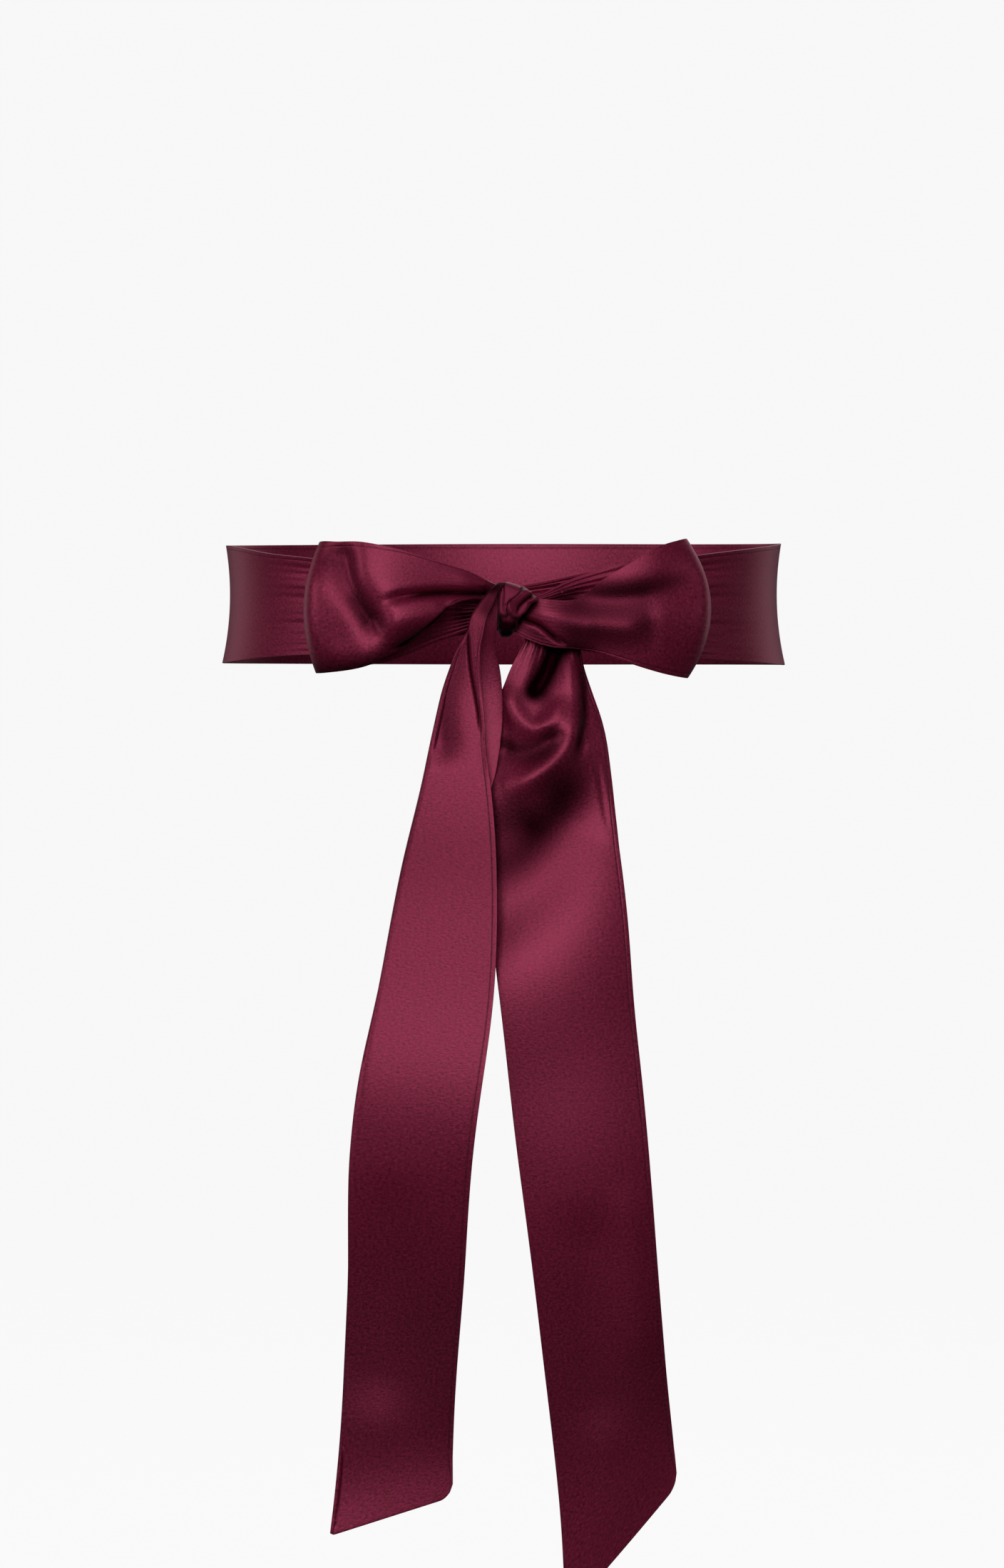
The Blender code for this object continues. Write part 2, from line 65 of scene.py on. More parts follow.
# The sash stands away from the narrowest line of the waist at its upper and lower edge.
WAIST_FLARE = 14.0
WAIST_NARROWEST = 0.42
FLARE_HEIGHT = 70.0

# The knot is a boxy pebble whose top slopes down from its peak towards its right end.
KNOT_MIDDLE_Y = 129.0
KNOT_MIDDLE_Z = -2.3
KNOT_HALF_DEPTH = 12.6
KNOT_HALF_HEIGHT = 15.4
KNOT_BOXINESS = 3.8
KNOT_PEAK_X = -1.4
KNOT_SLOPE = 0.3

# How many pleats lie across a stretch, and the finer gathers between them.
BAND_PLEATS = 3.5
NECK_PLEATS = 3.0
TAIL_PLEATS = 4.5
GATHERS = 13.0
GATHER_SHARE = 0.4
GATHER_DRIFT = 1.7
CORNER_RADIUS = 7.0
CORNER_FADE = 21.0

# The satin's two tones, and its patterns. A scale is how often a pattern repeats in a metre of
# the flat cut, and the slant is the grain's turn on it.
SATIN_DARK = (0.16, 0.005, 0.030)
SATIN_LIGHT = (0.42, 0.022, 0.092)
GRAIN_SLANT = 62.0
GRAIN_STRETCH = (1.0, 0.4, 1.0)
GRAIN_SCALE = 1100.0
THREADS_SCALE = 620.0
CLOUDS_SCALE = 16.0
WEAVE_RELIEF = 0.15
SEAM_INSET = 2.6
SEAM_FADE = 0.8

# A stitch is a small grain-shaped bead of thread that lies on the cloth.
THREAD_DARK = (0.07, 0.003, 0.014)
TWIST_SCALE = 3000.0
STITCH_PITCH = 2.7
STITCH_LENGTH = 1.9
STITCH_WIDTH = 0.34
STITCH_LIFT = 0.02
# A stitch points to where its line is this much further on.
LOOK_AHEAD = 0.5

# The camera stands on the bow's side, at metres. Its picture is 2200 pixels high, and the
# middle of the waist lies 251 pixels above the picture's. The spread is how high a picture it
# sees for each metre of distance.
CAMERA_PLACE = (0.0008, 2.32, 0)
SENSOR = 36
PICTURE_SPREAD = 0.395
PICTURE_HEIGHT = 2200
WAIST_ABOVE_MIDDLE = 251

# The soft rectangular lamps. Sides and places are metres, and power is watts.
Lamp = namedtuple("Lamp", "name sides power place")
LAMPS = (
    Lamp("key", (2.0, 1.0), 20, (0.3, 2.8, 0.75)),
    Lamp("high_key", (2.0, 1.2), 8, (0.2, 2.35, 1.65)),
    Lamp("top", (2.0, 1.2), 4, (0, 1.5, 2.5)),
    Lamp("left_lamp", (0.8, 1.6), 11, (2.5, 1.4, 0.6)),
    Lamp("right_lamp", (0.8, 1.6), 3, (-2.6, 1.2, 0.4)),
    Lamp("front_key", (3.2, 2.0), 17, (-0.8, -2.6, 1.5)),
    Lamp("left_fill", (1.5, 2.2), 6.5, (2.4, -1.8, 0.3)),
    Lamp("right_fill", (1.5, 2.2), 6.5, (-2.4, -1.8, 0.3)),
)
LAMPS_AIM = (0, 0, -0.1)

# The stage's dome and floor, in metres.
STAGE_RADIUS = 6.0
FLOOR_LEVEL = -1.05
STAGE_GREY = 0.05
STAGE_GLOW = 0.93
WORLD_GLOW = 0.04

# How many faces run along and across each stretch.
Mesh = namedtuple("Mesh", "along across")
BAND_FRONT_MESH = Mesh(300, 60)
BAND_SIDE_MESH = Mesh(190, 70)
LOOP_MESH = Mesh(300, 84)
TAIL_MESH = Mesh(460, 84)
KNOT_MESH = Mesh(110, 150)
# The folded tail has three strips across: front layer, fold and back layer.
FoldedMesh = namedtuple("FoldedMesh", "along front fold back")
FOLDED_TAIL_MESH = FoldedMesh(400, 54, 12, 42)

# The band lies on the waist's ellipse. angle turns from +X to +Y, top and bottom are heights,
# lift is how far it stands off the waist and pleat how deep its gathers are.
BandRow = namedtuple("BandRow", "angle top bottom lift pleat")
BAND_FRONT = (
    BandRow(180, 36.0, -35.0, 0.0, 0.0),
    BandRow(225, 36.8, -36.0, 0.0, 0.0),
    BandRow(270, 37.5, -36.5, 0.0, 0.0),
    BandRow(315, 36.4, -35.6, 0.0, 0.0),
    BandRow(360, 34.8, -34.0, 0.0, 0.0),
)
BAND_LEFT = (
    BandRow(0, 34.8, -34.0, 0.0, 0.0),
    BandRow(19, 33.3, -32.2, 0.0, 0.0),
    BandRow(34, 29.4, -29.6, 0.2, 0.1),
    BandRow(46, 26.8, -28.0, 0.5, 0.4),
    BandRow(60, 22.5, -26.5, 1.0, 0.9),
    BandRow(73, 17.5, -21.4, 1.2, 1.2),
    BandRow(83, 12.5, -15.8, 1.2, 1.2),
    BandRow(92.8, 10.0, -13.0, 0.8, 1.0),
)
BAND_RIGHT = (
    BandRow(180, 36.0, -35.0, 0.0, 0.0),
    BandRow(165, 34.4, -34.2, 0.0, 0.0),
    BandRow(149, 31.8, -32.2, 0.2, 0.1),
    BandRow(137, 29.2, -30.5, 0.5, 0.4),
    BandRow(121, 24.0, -27.5, 1.0, 0.9),
    BandRow(107, 17.8, -21.4, 1.2, 1.2),
    BandRow(98, 12.5, -15.6, 1.2, 1.2),
    BandRow(93.0, 10.0, -13.0, 0.8, 1.0),
)

# A ribbon runs between two edges. Each row gives a point of the upper edge, the point of the
# lower edge across from it, how far the middle is puffed out and how deep its gathers are.
RibbonRow = namedtuple("RibbonRow", "ax ay az bx by bz puff pleat")
LOOP_LEFT = (
    RibbonRow(-3.0, 129.0, 7.5, -3.0, 129.0, 0.5, 0.0, 0.1),
    RibbonRow(3.8, 130.5, 11.0, 3.8, 130.5, 1.5, 0.0, 0.2),
    RibbonRow(16.0, 133.0, 17.0, 13.5, 132.5, 3.4, 1.0, 0.1),
    RibbonRow(34.0, 137.5, 23.2, 27.0, 135.0, 1.8, 0.8, 0.05),
    RibbonRow(53.0, 140.5, 29.4, 39.0, 138.0, -8.0, 1.6, 0.0),
    RibbonRow(68.0, 141.0, 33.0, 55.0, 140.5, -22.5, 3.6, 0.0),
    RibbonRow(82.0, 138.0, 35.2, 74.0, 139.0, -32.2, 5.8, 0.0),
    RibbonRow(94.0, 130.5, 35.4, 91.5, 131.5, -36.0, 6.5, 0.0),
    RibbonRow(101.5, 119.0, 34.2, 103.5, 119.5, -37.4, 7.5, 0.0),
    RibbonRow(93.0, 109.0, 29.5, 95.0, 109.0, -35.2, 4.0, 0.0),
    RibbonRow(70.0, 110.0, 23.5, 67.0, 110.5, -32.0, 0.5, 0.3),
    RibbonRow(46.0, 114.0, 17.5, 42.5, 114.5, -22.6, 0.0, 0.7),
    RibbonRow(25.0, 118.5, 11.5, 22.5, 118.5, -15.0, 0.0, 0.8),
    RibbonRow(3.8, 120.5, 6.0, 3.8, 120.5, -9.0, 0.0, 0.4),
    RibbonRow(-2.0, 121.5, 5.0, -2.0, 121.5, -8.0, 0.0, 0.2),
)
LOOP_RIGHT = (
    RibbonRow(-12.0, 128.5, 3.0, -2.0, 128.5, -11.0, 0.0, 0.1),
    RibbonRow(-19.6, 131.0, 3.2, -7.0, 131.0, -15.5, 0.0, 0.05),
    RibbonRow(-28.5, 132.5, 2.8, -24.0, 132.5, -22.6, 1.0, 0.05),
    RibbonRow(-39.0, 134.5, 4.0, -37.0, 134.5, -24.0, 2.0, 0.0),
    RibbonRow(-52.6, 136.5, 12.9, -52.6, 136.5, -26.7, 2.5, 0.0),
    RibbonRow(-68.5, 136.5, 22.4, -68.5, 136.5, -31.8, 3.5, 0.0),
    RibbonRow(-84.0, 132.5, 31.5, -84.0, 132.5, -36.6, 5.5, 0.0),
    RibbonRow(-95.5, 125.0, 35.4, -95.5, 125.0, -39.3, 9.0, 0.0),
    RibbonRow(-101.3, 114.5, 36.2, -102.0, 114.5, -40.0, 13.0, 0.0),
    RibbonRow(-92.0, 107.0, 31.0, -93.0, 107.0, -36.5, 6.0, 0.0),
    RibbonRow(-72.0, 109.5, 25.0, -70.0, 109.5, -31.0, 0.5, 0.3),
    RibbonRow(-48.0, 114.0, 18.0, -47.0, 114.0, -22.6, 0.0, 0.7),
    RibbonRow(-34.0, 117.5, 12.5, -32.0, 117.5, -15.0, 0.0, 0.8),
    RibbonRow(-20.6, 120.5, 6.0, -19.8, 120.5, -8.0, 0.0, 0.4),
    RibbonRow(-12.0, 121.5, 4.0, -9.0, 121.5, -7.0, 0.0, 0.2),
)
# The right tail's first edge is the one beside the left tail, its second is the outer one.
TAIL_RIGHT = (
    RibbonRow(-8.0, 127.0, -3.0, -9.0, 127.0, 0.0, 0.0, 0.0),
    RibbonRow(-12.3, 125.5, -4.5, -14.9, 125.5, -1.0, 0.0, 0.2),
    RibbonRow(-13.0, 125.5, -12.0, -29.0, 124.8, -8.0, 0.0, 0.25),
    RibbonRow(-11.4, 126.0, -20.5, -40.5, 124.6, -19.5, 0.5, 0.3),
    RibbonRow(-6.5, 127.0, -30.0, -43.5, 124.8, -29.5, 2.0, 0.15),
    RibbonRow(-1.5, 128.2, -41.5, -46.5, 125.6, -41.0, 4.0, 0.0),
    RibbonRow(3.2, 130.5, -59.0, -52.3, 128.5, -59.0, 5.0, 0.0),
    RibbonRow(6.5, 136.0, -98.0, -59.3, 134.5, -98.0, 5.0, 0.0),
    RibbonRow(7.6, 144.0, -137.0, -63.2, 142.0, -137.0, 4.5, 0.0),
    RibbonRow(6.0, 152.0, -175.5, -66.8, 149.0, -175.5, 4.0, 0.0),
    RibbonRow(1.6, 159.0, -214.0, -70.2, 155.0, -214.0, 3.5, 0.0),
    RibbonRow(-2.4, 163.5, -252.0, -74.4, 159.0, -252.0, 3.0, 0.0),
    RibbonRow(-6.8, 165.5, -291.0, -78.0, 161.0, -291.0, 3.0, 0.0),
    RibbonRow(-11.8, 165.0, -329.0, -81.2, 160.5, -329.0, 3.0, 0.0),
    RibbonRow(-17.0, 163.0, -371.0, -84.3, 158.5, -367.0, 3.0, 0.0),
    RibbonRow(-22.0, 161.0, -414.0, -87.2, 156.5, -402.0, 3.0, 0.0),
    RibbonRow(-27.2, 160.0, -458.0, -90.2, 155.5, -434.0, 3.0, 0.0),
    RibbonRow(-31.4, 160.0, -502.0, -92.8, 155.5, -459.0, 2.5, 0.0),
    RibbonRow(-33.6, 160.0, -550.0, -94.4, 156.0, -480.0, 2.0, 0.0),
)

# The left tail is folded lengthwise. At each height the front layer runs from the seam edge to
# the fold, and the back layer from the fold to the back edge. slant is how much higher the fold
# is than the seam edge, and roll the radius of the fold.
FoldedRow = namedtuple("FoldedRow", "z slant seam_x seam_y fold_x fold_y back_x back_y roll")
TAIL_LEFT = (
    FoldedRow(12.0, 0.0, -1.5, 136.0, 2.6, 135.4, 0.0, 133.6, 0.8),
    FoldedRow(8.0, 0.0, 2.4, 140.6, 7.4, 140.0, 3.0, 137.4, 1.1),
    FoldedRow(2.0, 0.0, 5.2, 142.6, 12.4, 141.4, 3.4, 138.0, 1.4),
    FoldedRow(-6.0, 0.0, 9.0, 143.0, 17.4, 141.4, 3.3, 137.4, 1.6),
    FoldedRow(-14.0, 0.0, 10.8, 142.8, 20.0, 141.0, 3.8, 136.2, 1.8),
    FoldedRow(-22.0, 0.0, 12.4, 142.0, 24.2, 140.0, 4.2, 134.4, 2.0),
    FoldedRow(-34.0, 0.0, 12.8, 141.2, 29.2, 139.0, 2.2, 133.0, 2.4),
    FoldedRow(-46.0, 0.0, 11.8, 141.2, 33.2, 139.2, 0.8, 133.0, 2.6),
    FoldedRow(-59.0, 0.0, 10.6, 142.6, 36.4, 140.4, 0.4, 134.6, 2.8),
    FoldedRow(-78.0, 0.0, 9.6, 145.4, 40.6, 142.0, 2.0, 138.2, 2.8),
    FoldedRow(-98.0, 0.0, 7.2, 149.0, 44.8, 144.0, 6.0, 142.6, 2.6),
    FoldedRow(-137.0, 0.0, 4.0, 156.5, 54.2, 149.0, 26.0, 147.0, 2.4),
    FoldedRow(-175.5, 0.0, 3.6, 164.0, 61.9, 155.0, 44.0, 153.0, 2.2),
    FoldedRow(-214.0, 0.0, 5.4, 169.0, 68.6, 159.5, 58.0, 157.0, 2.0),
    FoldedRow(-252.0, 0.0, 9.7, 171.5, 74.4, 162.0, 67.0, 159.0, 2.0),
    FoldedRow(-291.0, 0.0, 14.8, 172.0, 78.8, 162.5, 72.5, 159.5, 2.0),
    FoldedRow(-329.0, 0.0, 18.5, 170.5, 82.2, 162.0, 77.0, 159.0, 1.8),
    FoldedRow(-368.0, -1.0, 21.4, 169.0, 84.4, 161.0, 80.0, 158.4, 1.8),
    FoldedRow(-406.0, -4.0, 24.6, 168.0, 86.2, 161.5, 82.0, 159.0, 1.6),
    FoldedRow(-445.0, -10.0, 27.0, 168.0, 88.6, 165.0, 85.0, 162.6, 1.4),
    FoldedRow(-483.5, -20.5, 28.0, 169.5, 93.4, 171.0, 91.0, 168.8, 1.2),
)

# Where the two ends of the knot lie at each height.
KnotRow = namedtuple("KnotRow", "z left_x right_x")
KNOT_SIDES = (
    KnotRow(-17.7, 3.4, -5.5),
    KnotRow(-8.0, 3.4, -8.8),
    KnotRow(-4.0, 3.4, -11.7),
    KnotRow(1.5, 3.4, -14.8),
    KnotRow(4.0, 3.4, -18.4),
    KnotRow(8.0, 3.4, -18.6),
    KnotRow(13.1, 3.0, -14.0),
)

# A fold is a soft ridge, or a trough where depth is negative, along a smooth line through the
# points of its path, which are (x, z) seen from the bow's side.
Fold = namedtuple("Fold", "width depth path")
LOOP_LEFT_FOLDS = (
    Fold(3.0, -4.0, ((-4.0, 5.6), (12.2, 6.2), (25.5, 6.6), (38.8, 6.4), (60.8, 3.4), (70.0, 0.5))),
    Fold(2.2, 1.6, ((6.0, 1.6), (17.0, 2.4), (26.0, 1.8), (34.5, -5.0), (45.5, -15.5))),
    Fold(2.6, -2.0, ((23.0, 1.2), (31.5, -3.6), (41.0, -12.5), (52.0, -20.0), (66.0, -26.0))),
    Fold(8.0, -5.4, (
        (90.0, 40.0), (89.0, 24.0), (86.0, 12.0), (80.0, 1.0), (72.0, -9.0), (62.0, -17.0),
    )),
    Fold(10.0, 2.8, (
        (104.0, 30.0), (105.0, 8.0), (103.0, -12.0), (95.0, -25.0), (80.0, -29.0),
        (58.0, -25.0),
    )),
    Fold(15.0, 3.4, ((8.0, -1.0), (30.0, -3.0), (54.0, -4.0), (74.0, -6.0))),
    Fold(7.0, 2.0, ((30.0, -3.0), (44.0, -6.0), (56.0, -9.5), (68.0, -14.0))),
)
LOOP_RIGHT_FOLDS = (
    Fold(9.0, -3.2, ((-16.0, 8.0), (-40.0, 4.2), (-60.0, 3.4), (-84.0, 6.0), (-120.0, 16.0))),
    Fold(8.0, 2.1, ((-8.0, 0.0), (-24.0, -4.8), (-44.0, -10.0), (-84.0, -15.0))),
    Fold(14.0, -1.5, ((-44.0, -18.0), (-66.0, -18.0), (-90.0, -16.0))),
    Fold(1.5, -2.6, ((-9.0, -7.6), (-20.5, -11.6), (-27.0, -17.0), (-36.0, -22.5))),
)
LOOP_BACK_FOLDS = (
    Fold(3.2, -1.6, ((8.0, -2.0), (34.0, -6.0), (70.0, -12.0))),
    Fold(4.5, 1.5, ((12.0, 3.0), (42.0, 6.0), (82.0, 14.0))),
    Fold(6.0, -2.0, ((58.0, 12.0), (80.0, 4.0), (88.0, -18.0))),
    Fold(3.0, -1.4, ((-24.0, 0.0), (-46.0, -4.0), (-80.0, -16.0))),
    Fold(4.0, 1.5, ((-28.0, 5.0), (-54.0, 10.0), (-86.0, 18.0))),
    Fold(6.0, -1.8, ((-64.0, 14.0), (-84.0, 2.0), (-88.0, -22.0))),
)
TAIL_LEFT_FOLDS = (
    Fold(2.2, 0.9, (
        (15.5, -10.0), (15.8, -24.0), (14.4, -38.0), (12.0, -55.0), (9.8, -72.0),
        (8.0, -98.0),
    )),
    Fold(1.1, -1.3, ((18.4, -8.0), (19.0, -22.0), (17.4, -38.0), (14.2, -55.0), (11.8, -76.0))),
    Fold(9.0, -3.2, ((28.0, -10.0), (34.0, -34.0), (36.0, -58.0), (33.0, -92.0))),
    Fold(50.0, 6.0, ((-60.0, -302.0), (42.0, -300.0), (160.0, -292.0))),
    Fold(38.0, 3.0, ((-80.0, -262.0), (40.0, -255.0), (160.0, -248.0))),
    Fold(16.0, -2.0, ((60.0, -300.0), (62.0, -380.0), (70.0, -450.0))),
    Fold(28.0, -2.2, ((-80.0, -432.0), (50.0, -468.0), (180.0, -505.0))),
)
TAIL_RIGHT_FOLDS = (
    Fold(5.6, 3.6, (
        (-1.9, -42.0), (-3.7, -52.8), (-9.1, -63.0), (-16.4, -68.0), (-23.7, -66.0),
        (-29.1, -59.0), (-31.1, -48.0),
    )),
    Fold(6.4, -4.2, ((-34.0, -8.0), (-27.0, -28.0), (-21.5, -41.0), (-13.0, -53.0))),
    Fold(6.4, 3.0, (
        (-34.0, -20.0), (-37.4, -44.3), (-38.0, -57.4), (-36.0, -70.0), (-30.0, -81.5),
        (-22.4, -89.8), (-12.8, -97.2), (4.0, -103.2),
    )),
    Fold(7.0, -2.6, ((8.0, -76.0), (-10.0, -83.0), (-24.0, -79.5), (-32.0, -66.0))),
    Fold(3.4, -1.2, ((-41.0, -22.0), (-44.0, -50.0), (-43.4, -70.8), (-38.0, -90.0))),
    Fold(17.0, 5.2, (
        (-40.0, -50.0), (-36.0, -70.5), (-24.4, -88.8), (-12.8, -97.2), (34.0, -106.0),
    )),
    Fold(20.0, -4.0, (
        (56.0, -186.0), (6.0, -170.0), (-14.0, -156.0), (-33.0, -130.0), (-46.0, -94.0),
    )),
    Fold(44.0, 4.6, ((110.0, -250.0), (-20.0, -196.0), (-140.0, -130.0))),
    Fold(2.0, -0.6, ((-46.0, -60.0), (-52.0, -92.0), (-58.0, -128.0))),
    Fold(6.0, 1.0, ((-48.0, -66.0), (-54.0, -96.0), (-60.0, -136.0))),
    Fold(46.0, 1.5, ((-150.0, -270.0), (-40.0, -310.0), (70.0, -340.0))),
    Fold(15.0, -1.6, ((-44.0, -320.0), (-48.0, -390.0), (-56.0, -460.0))),
    Fold(9.0, 1.0, ((-66.0, -310.0), (-72.0, -370.0), (-78.0, -420.0))),
)
KNOT_FOLDS = (
    Fold(1.3, 2.3, (
        (-4.2, 5.0), (-3.6, -0.8), (-4.6, -4.4), (-7.7, -6.0), (-10.6, -4.2), (-13.4, -1.0),
        (-18.0, 5.4),
    )),
    Fold(1.5, -2.8, ((-22.0, 10.0), (-13.7, 3.8), (-10.7, 1.3), (-7.8, -2.4), (-6.6, -4.4))),
    Fold(0.9, 1.1, ((-20.0, 11.0), (-15.4, 6.6), (-11.6, 4.0), (-8.4, 1.0))),
    Fold(0.6, -0.9, ((-0.1, 16.0), (0.0, 8.0), (0.1, -3.0))),
    Fold(1.7, 1.4, ((2.4, 8.0), (1.6, 1.0), (0.2, -7.0))),
    Fold(1.3, -1.6, ((-1.4, 1.4), (-1.7, -3.0), (-3.6, -8.0))),
    Fold(1.6, 1.2, ((-11.6, 7.6), (-7.4, 4.0), (-3.6, 0.6))),
    Fold(1.8, -1.8, ((6.0, -6.6), (-3.0, -8.4), (-8.0, -8.0), (-14.0, -3.4))),
    Fold(1.6, 1.2, ((6.0, -11.0), (-3.0, -12.4), (-9.0, -10.6))),
    Fold(1.2, -1.0, ((6.0, -14.0), (-1.0, -15.2), (-8.0, -14.0))),
)
# A lap is the edge of an upper layer: the cloth on the left of the walk along its path, seen from
# inside the bow, stands higher by its rise, which fades over its reach.
Lap = namedtuple("Lap", "rise soft reach path")
KNOT_LAPS = (
    Lap(1.9, 0.45, 9.0, (
        (-1.8, -8.0), (-1.9, 0.0), (-3.6, 1.8), (-6.3, 3.9), (-9.0, 6.2), (-9.8, 9.0),
        (-9.9, 18.0),
    )),
    Lap(1.2, 0.4, 5.0, ((-6.0, 4.0), (-10.6, 6.4), (-12.4, 7.2), (-16.2, 6.0), (-24.0, 3.0))),
)
# Painted shade: places that little light reaches, darkened in the satin's colour. The depth is how
# dark they are, and 1 or more is black.
KNOT_PAINTED_SHADE = (
    Fold(4.6, 1.0, ((14.0, -8.4), (0.0, -11.2), (-8.0, -11.6), (-18.0, -7.0))),
    Fold(4.6, 0.85, ((14.0, -16.0), (0.0, -17.6), (-18.0, -17.6))),
    Fold(1.5, 0.9, ((3.6, 24.0), (3.4, 10.0), (3.4, 4.0), (3.8, -4.0), (3.8, -16.0))),
    Fold(0.8, 1.0, ((-22.0, 10.0), (-13.7, 3.8), (-10.7, 1.3), (-7.8, -2.4), (-6.2, -6.0))),
    Fold(0.6, 1.0, (
        (-10.0, 18.0), (-9.8, 9.0), (-9.0, 5.9), (-6.3, 3.4), (-3.8, 1.2), (-2.2, -1.0),
        (-2.0, -8.0),
    )),
    Fold(0.4, 0.7, ((-0.1, 16.0), (0.0, 8.0), (0.1, -3.0))),
)
LOOP_LEFT_PAINTED_SHADE = (
    Fold(2.0, 0.95, ((-6.0, 4.4), (8.0, 5.8), (22.0, 6.4), (38.0, 6.4), (58.0, 3.6))),
    Fold(7.5, 0.55, (
        (93.0, 40.0), (92.0, 26.0), (88.0, 13.0), (81.0, 1.0), (73.0, -10.0), (64.0, -18.0),
    )),
    Fold(5.0, 0.32, ((86.0, 9.0), (79.0, -2.0), (72.0, -10.0), (64.0, -17.0))),
    Fold(1.1, 0.9, ((20.0, 3.4), (28.0, 0.6), (36.0, -6.6), (47.0, -16.0), (62.0, -25.0))),
    Fold(3.0, 0.4, ((-6.0, 8.0), (4.0, 8.6), (14.0, 9.6))),
    Fold(9.0, 0.9, (
        (160.0, -40.0), (106.0, -42.0), (86.0, -40.0), (66.0, -34.0), (44.0, -20.0),
        (24.0, -8.0),
    )),
)
LOOP_RIGHT_PAINTED_SHADE = (
    Fold(6.0, 0.45, ((-24.0, 10.0), (-44.0, 8.0), (-64.0, 8.0), (-104.0, 16.0))),
    Fold(1.0, 0.9, ((-7.0, -6.8), (-20.5, -11.2), (-26.0, -15.4), (-32.0, -20.0))),
    Fold(2.4, 0.9, ((-20.0, 7.0), (-15.6, 0.0), (-11.0, -6.0), (-6.0, -12.0))),
    Fold(17.0, 0.6, ((-26.0, -18.0), (-52.0, -8.0), (-90.0, -4.0))),
    Fold(5.0, 0.6, ((8.0, -4.0), (-10.0, -13.5), (-24.0, -20.0), (-40.0, -26.0), (-60.0, -30.0))),
)
LOOP_BACK_PAINTED_SHADE = (
    Fold(9.0, 0.8, ((-6.0, -2.0), (10.0, -3.0), (30.0, -8.0))),
    Fold(9.0, 0.8, ((6.0, -2.0), (-30.0, -2.0), (-50.0, 2.0))),
)
# Painted shade on the tails also lies in broad soft bands across them, not only in creases.
TAIL_LEFT_PAINTED_SHADE = (
    Fold(0.8, 0.9, (
        (17.0, 0.0), (19.0, -10.0), (19.2, -22.0), (17.6, -38.0), (14.4, -55.0),
        (12.0, -76.0),
    )),
    Fold(9.0, 0.5, ((28.0, -8.0), (33.0, -40.0), (33.0, -62.0), (28.0, -92.0))),
    Fold(6.0, 0.8, ((1.0, 24.0), (5.0, 9.0), (8.0, 2.0), (11.0, -5.0), (13.0, -10.0))),
    Fold(3.0, 0.6, ((2.0, -10.0), (2.0, -24.0), (0.0, -44.0), (0.0, -70.0))),
    Fold(36.0, 0.35, ((-80.0, -142.0), (30.0, -138.0), (140.0, -134.0))),
    Fold(60.0, 0.35, ((-100.0, -400.0), (50.0, -408.0), (200.0, -416.0))),
)
TAIL_RIGHT_PAINTED_SHADE = (
    Fold(6.6, 1.4, ((-38.0, 0.0), (-28.0, -27.0), (-21.5, -41.0), (-9.0, -57.0))),
    Fold(6.0, 0.75, ((12.0, -68.0), (-6.0, -80.0), (-22.0, -78.0), (-31.0, -62.0))),
    Fold(15.0, 0.8, (
        (50.0, -164.0), (6.0, -145.0), (-9.0, -138.0), (-22.0, -123.0), (-33.0, -102.0),
        (-40.0, -74.0),
    )),
    Fold(13.0, 0.5, ((40.0, -128.0), (0.0, -120.0), (-20.0, -106.0))),
    Fold(60.0, 0.25, ((-140.0, -420.0), (-50.0, -430.0), (60.0, -440.0))),
    Fold(2.8, 0.8, ((-42.0, -8.0), (-44.0, -34.0), (-44.0, -56.0), (-41.6, -74.0), (-37.0, -92.0))),
    Fold(3.6, 0.9, ((-6.0, -12.0), (-26.0, -20.0), (-48.0, -24.0))),
    Fold(4.0, 0.7, ((4.0, -50.0), (10.0, -120.0), (8.0, -190.0), (0.0, -240.0))),
)
# How many straight steps a fold's line has, and the share of it that it fades over at each end.
FOLD_STEPS = 24
FOLD_TAPER = 0.22
# A fold fades from full to nothing as the cloth turns away from the bow's side.
FOLD_FULL_FACING = 0.75
FOLD_LEAST_FACING = 0.12


def spline(knots, values, at):
    """The natural cubic spline through the values at the knots, read at the given places."""
    gaps = np.diff(knots)
    last = len(knots) - 1
    system = np.eye(last + 1)
    target = np.zeros((last + 1, values.shape[1]))
    for i in range(1, last):
        system[i, i - 1 : i + 2] = gaps[i - 1], 2 * (gaps[i - 1] + gaps[i]), gaps[i]
        rise = (values[i + 1] - values[i]) / gaps[i]
        target[i] = 6 * (rise - (values[i] - values[i - 1]) / gaps[i - 1])
    bend = np.linalg.solve(system, target)
    low = np.clip(np.searchsorted(knots, at) - 1, 0, last - 1)
    gap = gaps[low][:, None]
    after = (knots[low + 1] - at)[:, None]
    before = (at - knots[low])[:, None]
    curved = (bend[low] * after**3 + bend[low + 1] * before**3) / (6 * gap)
    straight = (values[low] / gap - bend[low] * gap / 6) * after
    return curved + straight + (values[low + 1] / gap - bend[low + 1] * gap / 6) * before


def smooth_rows(rows, lengths, count):
    """The table's columns by name, read at even steps along the rows' lengths."""
    knots = np.concatenate([[0], np.cumsum(lengths)])
    values = spline(knots, np.array(rows, float), np.linspace(0, knots[-1], count + 1))
    return type(rows[0])(*(column[:, None] for column in values.T))


def points(x, y, z):
    return np.stack(np.broadcast_arrays(x, y, z), axis=-1)


def face_normals(grid, side):
    """The unit normal at each point of a grid; side turns it to face outwards."""
    normal = side * np.cross(np.gradient(grid, axis=0), np.gradient(grid, axis=1))
    return normal / np.linalg.norm(normal, axis=2, keepdims=True)


def pleats(share, count):
    """Even gathers across a stretch, from crest to crest, with finer gathers between them."""
    fine = np.cos(2 * np.pi * GATHERS * share + GATHER_DRIFT * np.sin(2 * np.pi * share))
    return np.cos(2 * np.pi * count * share) + GATHER_SHARE * fine


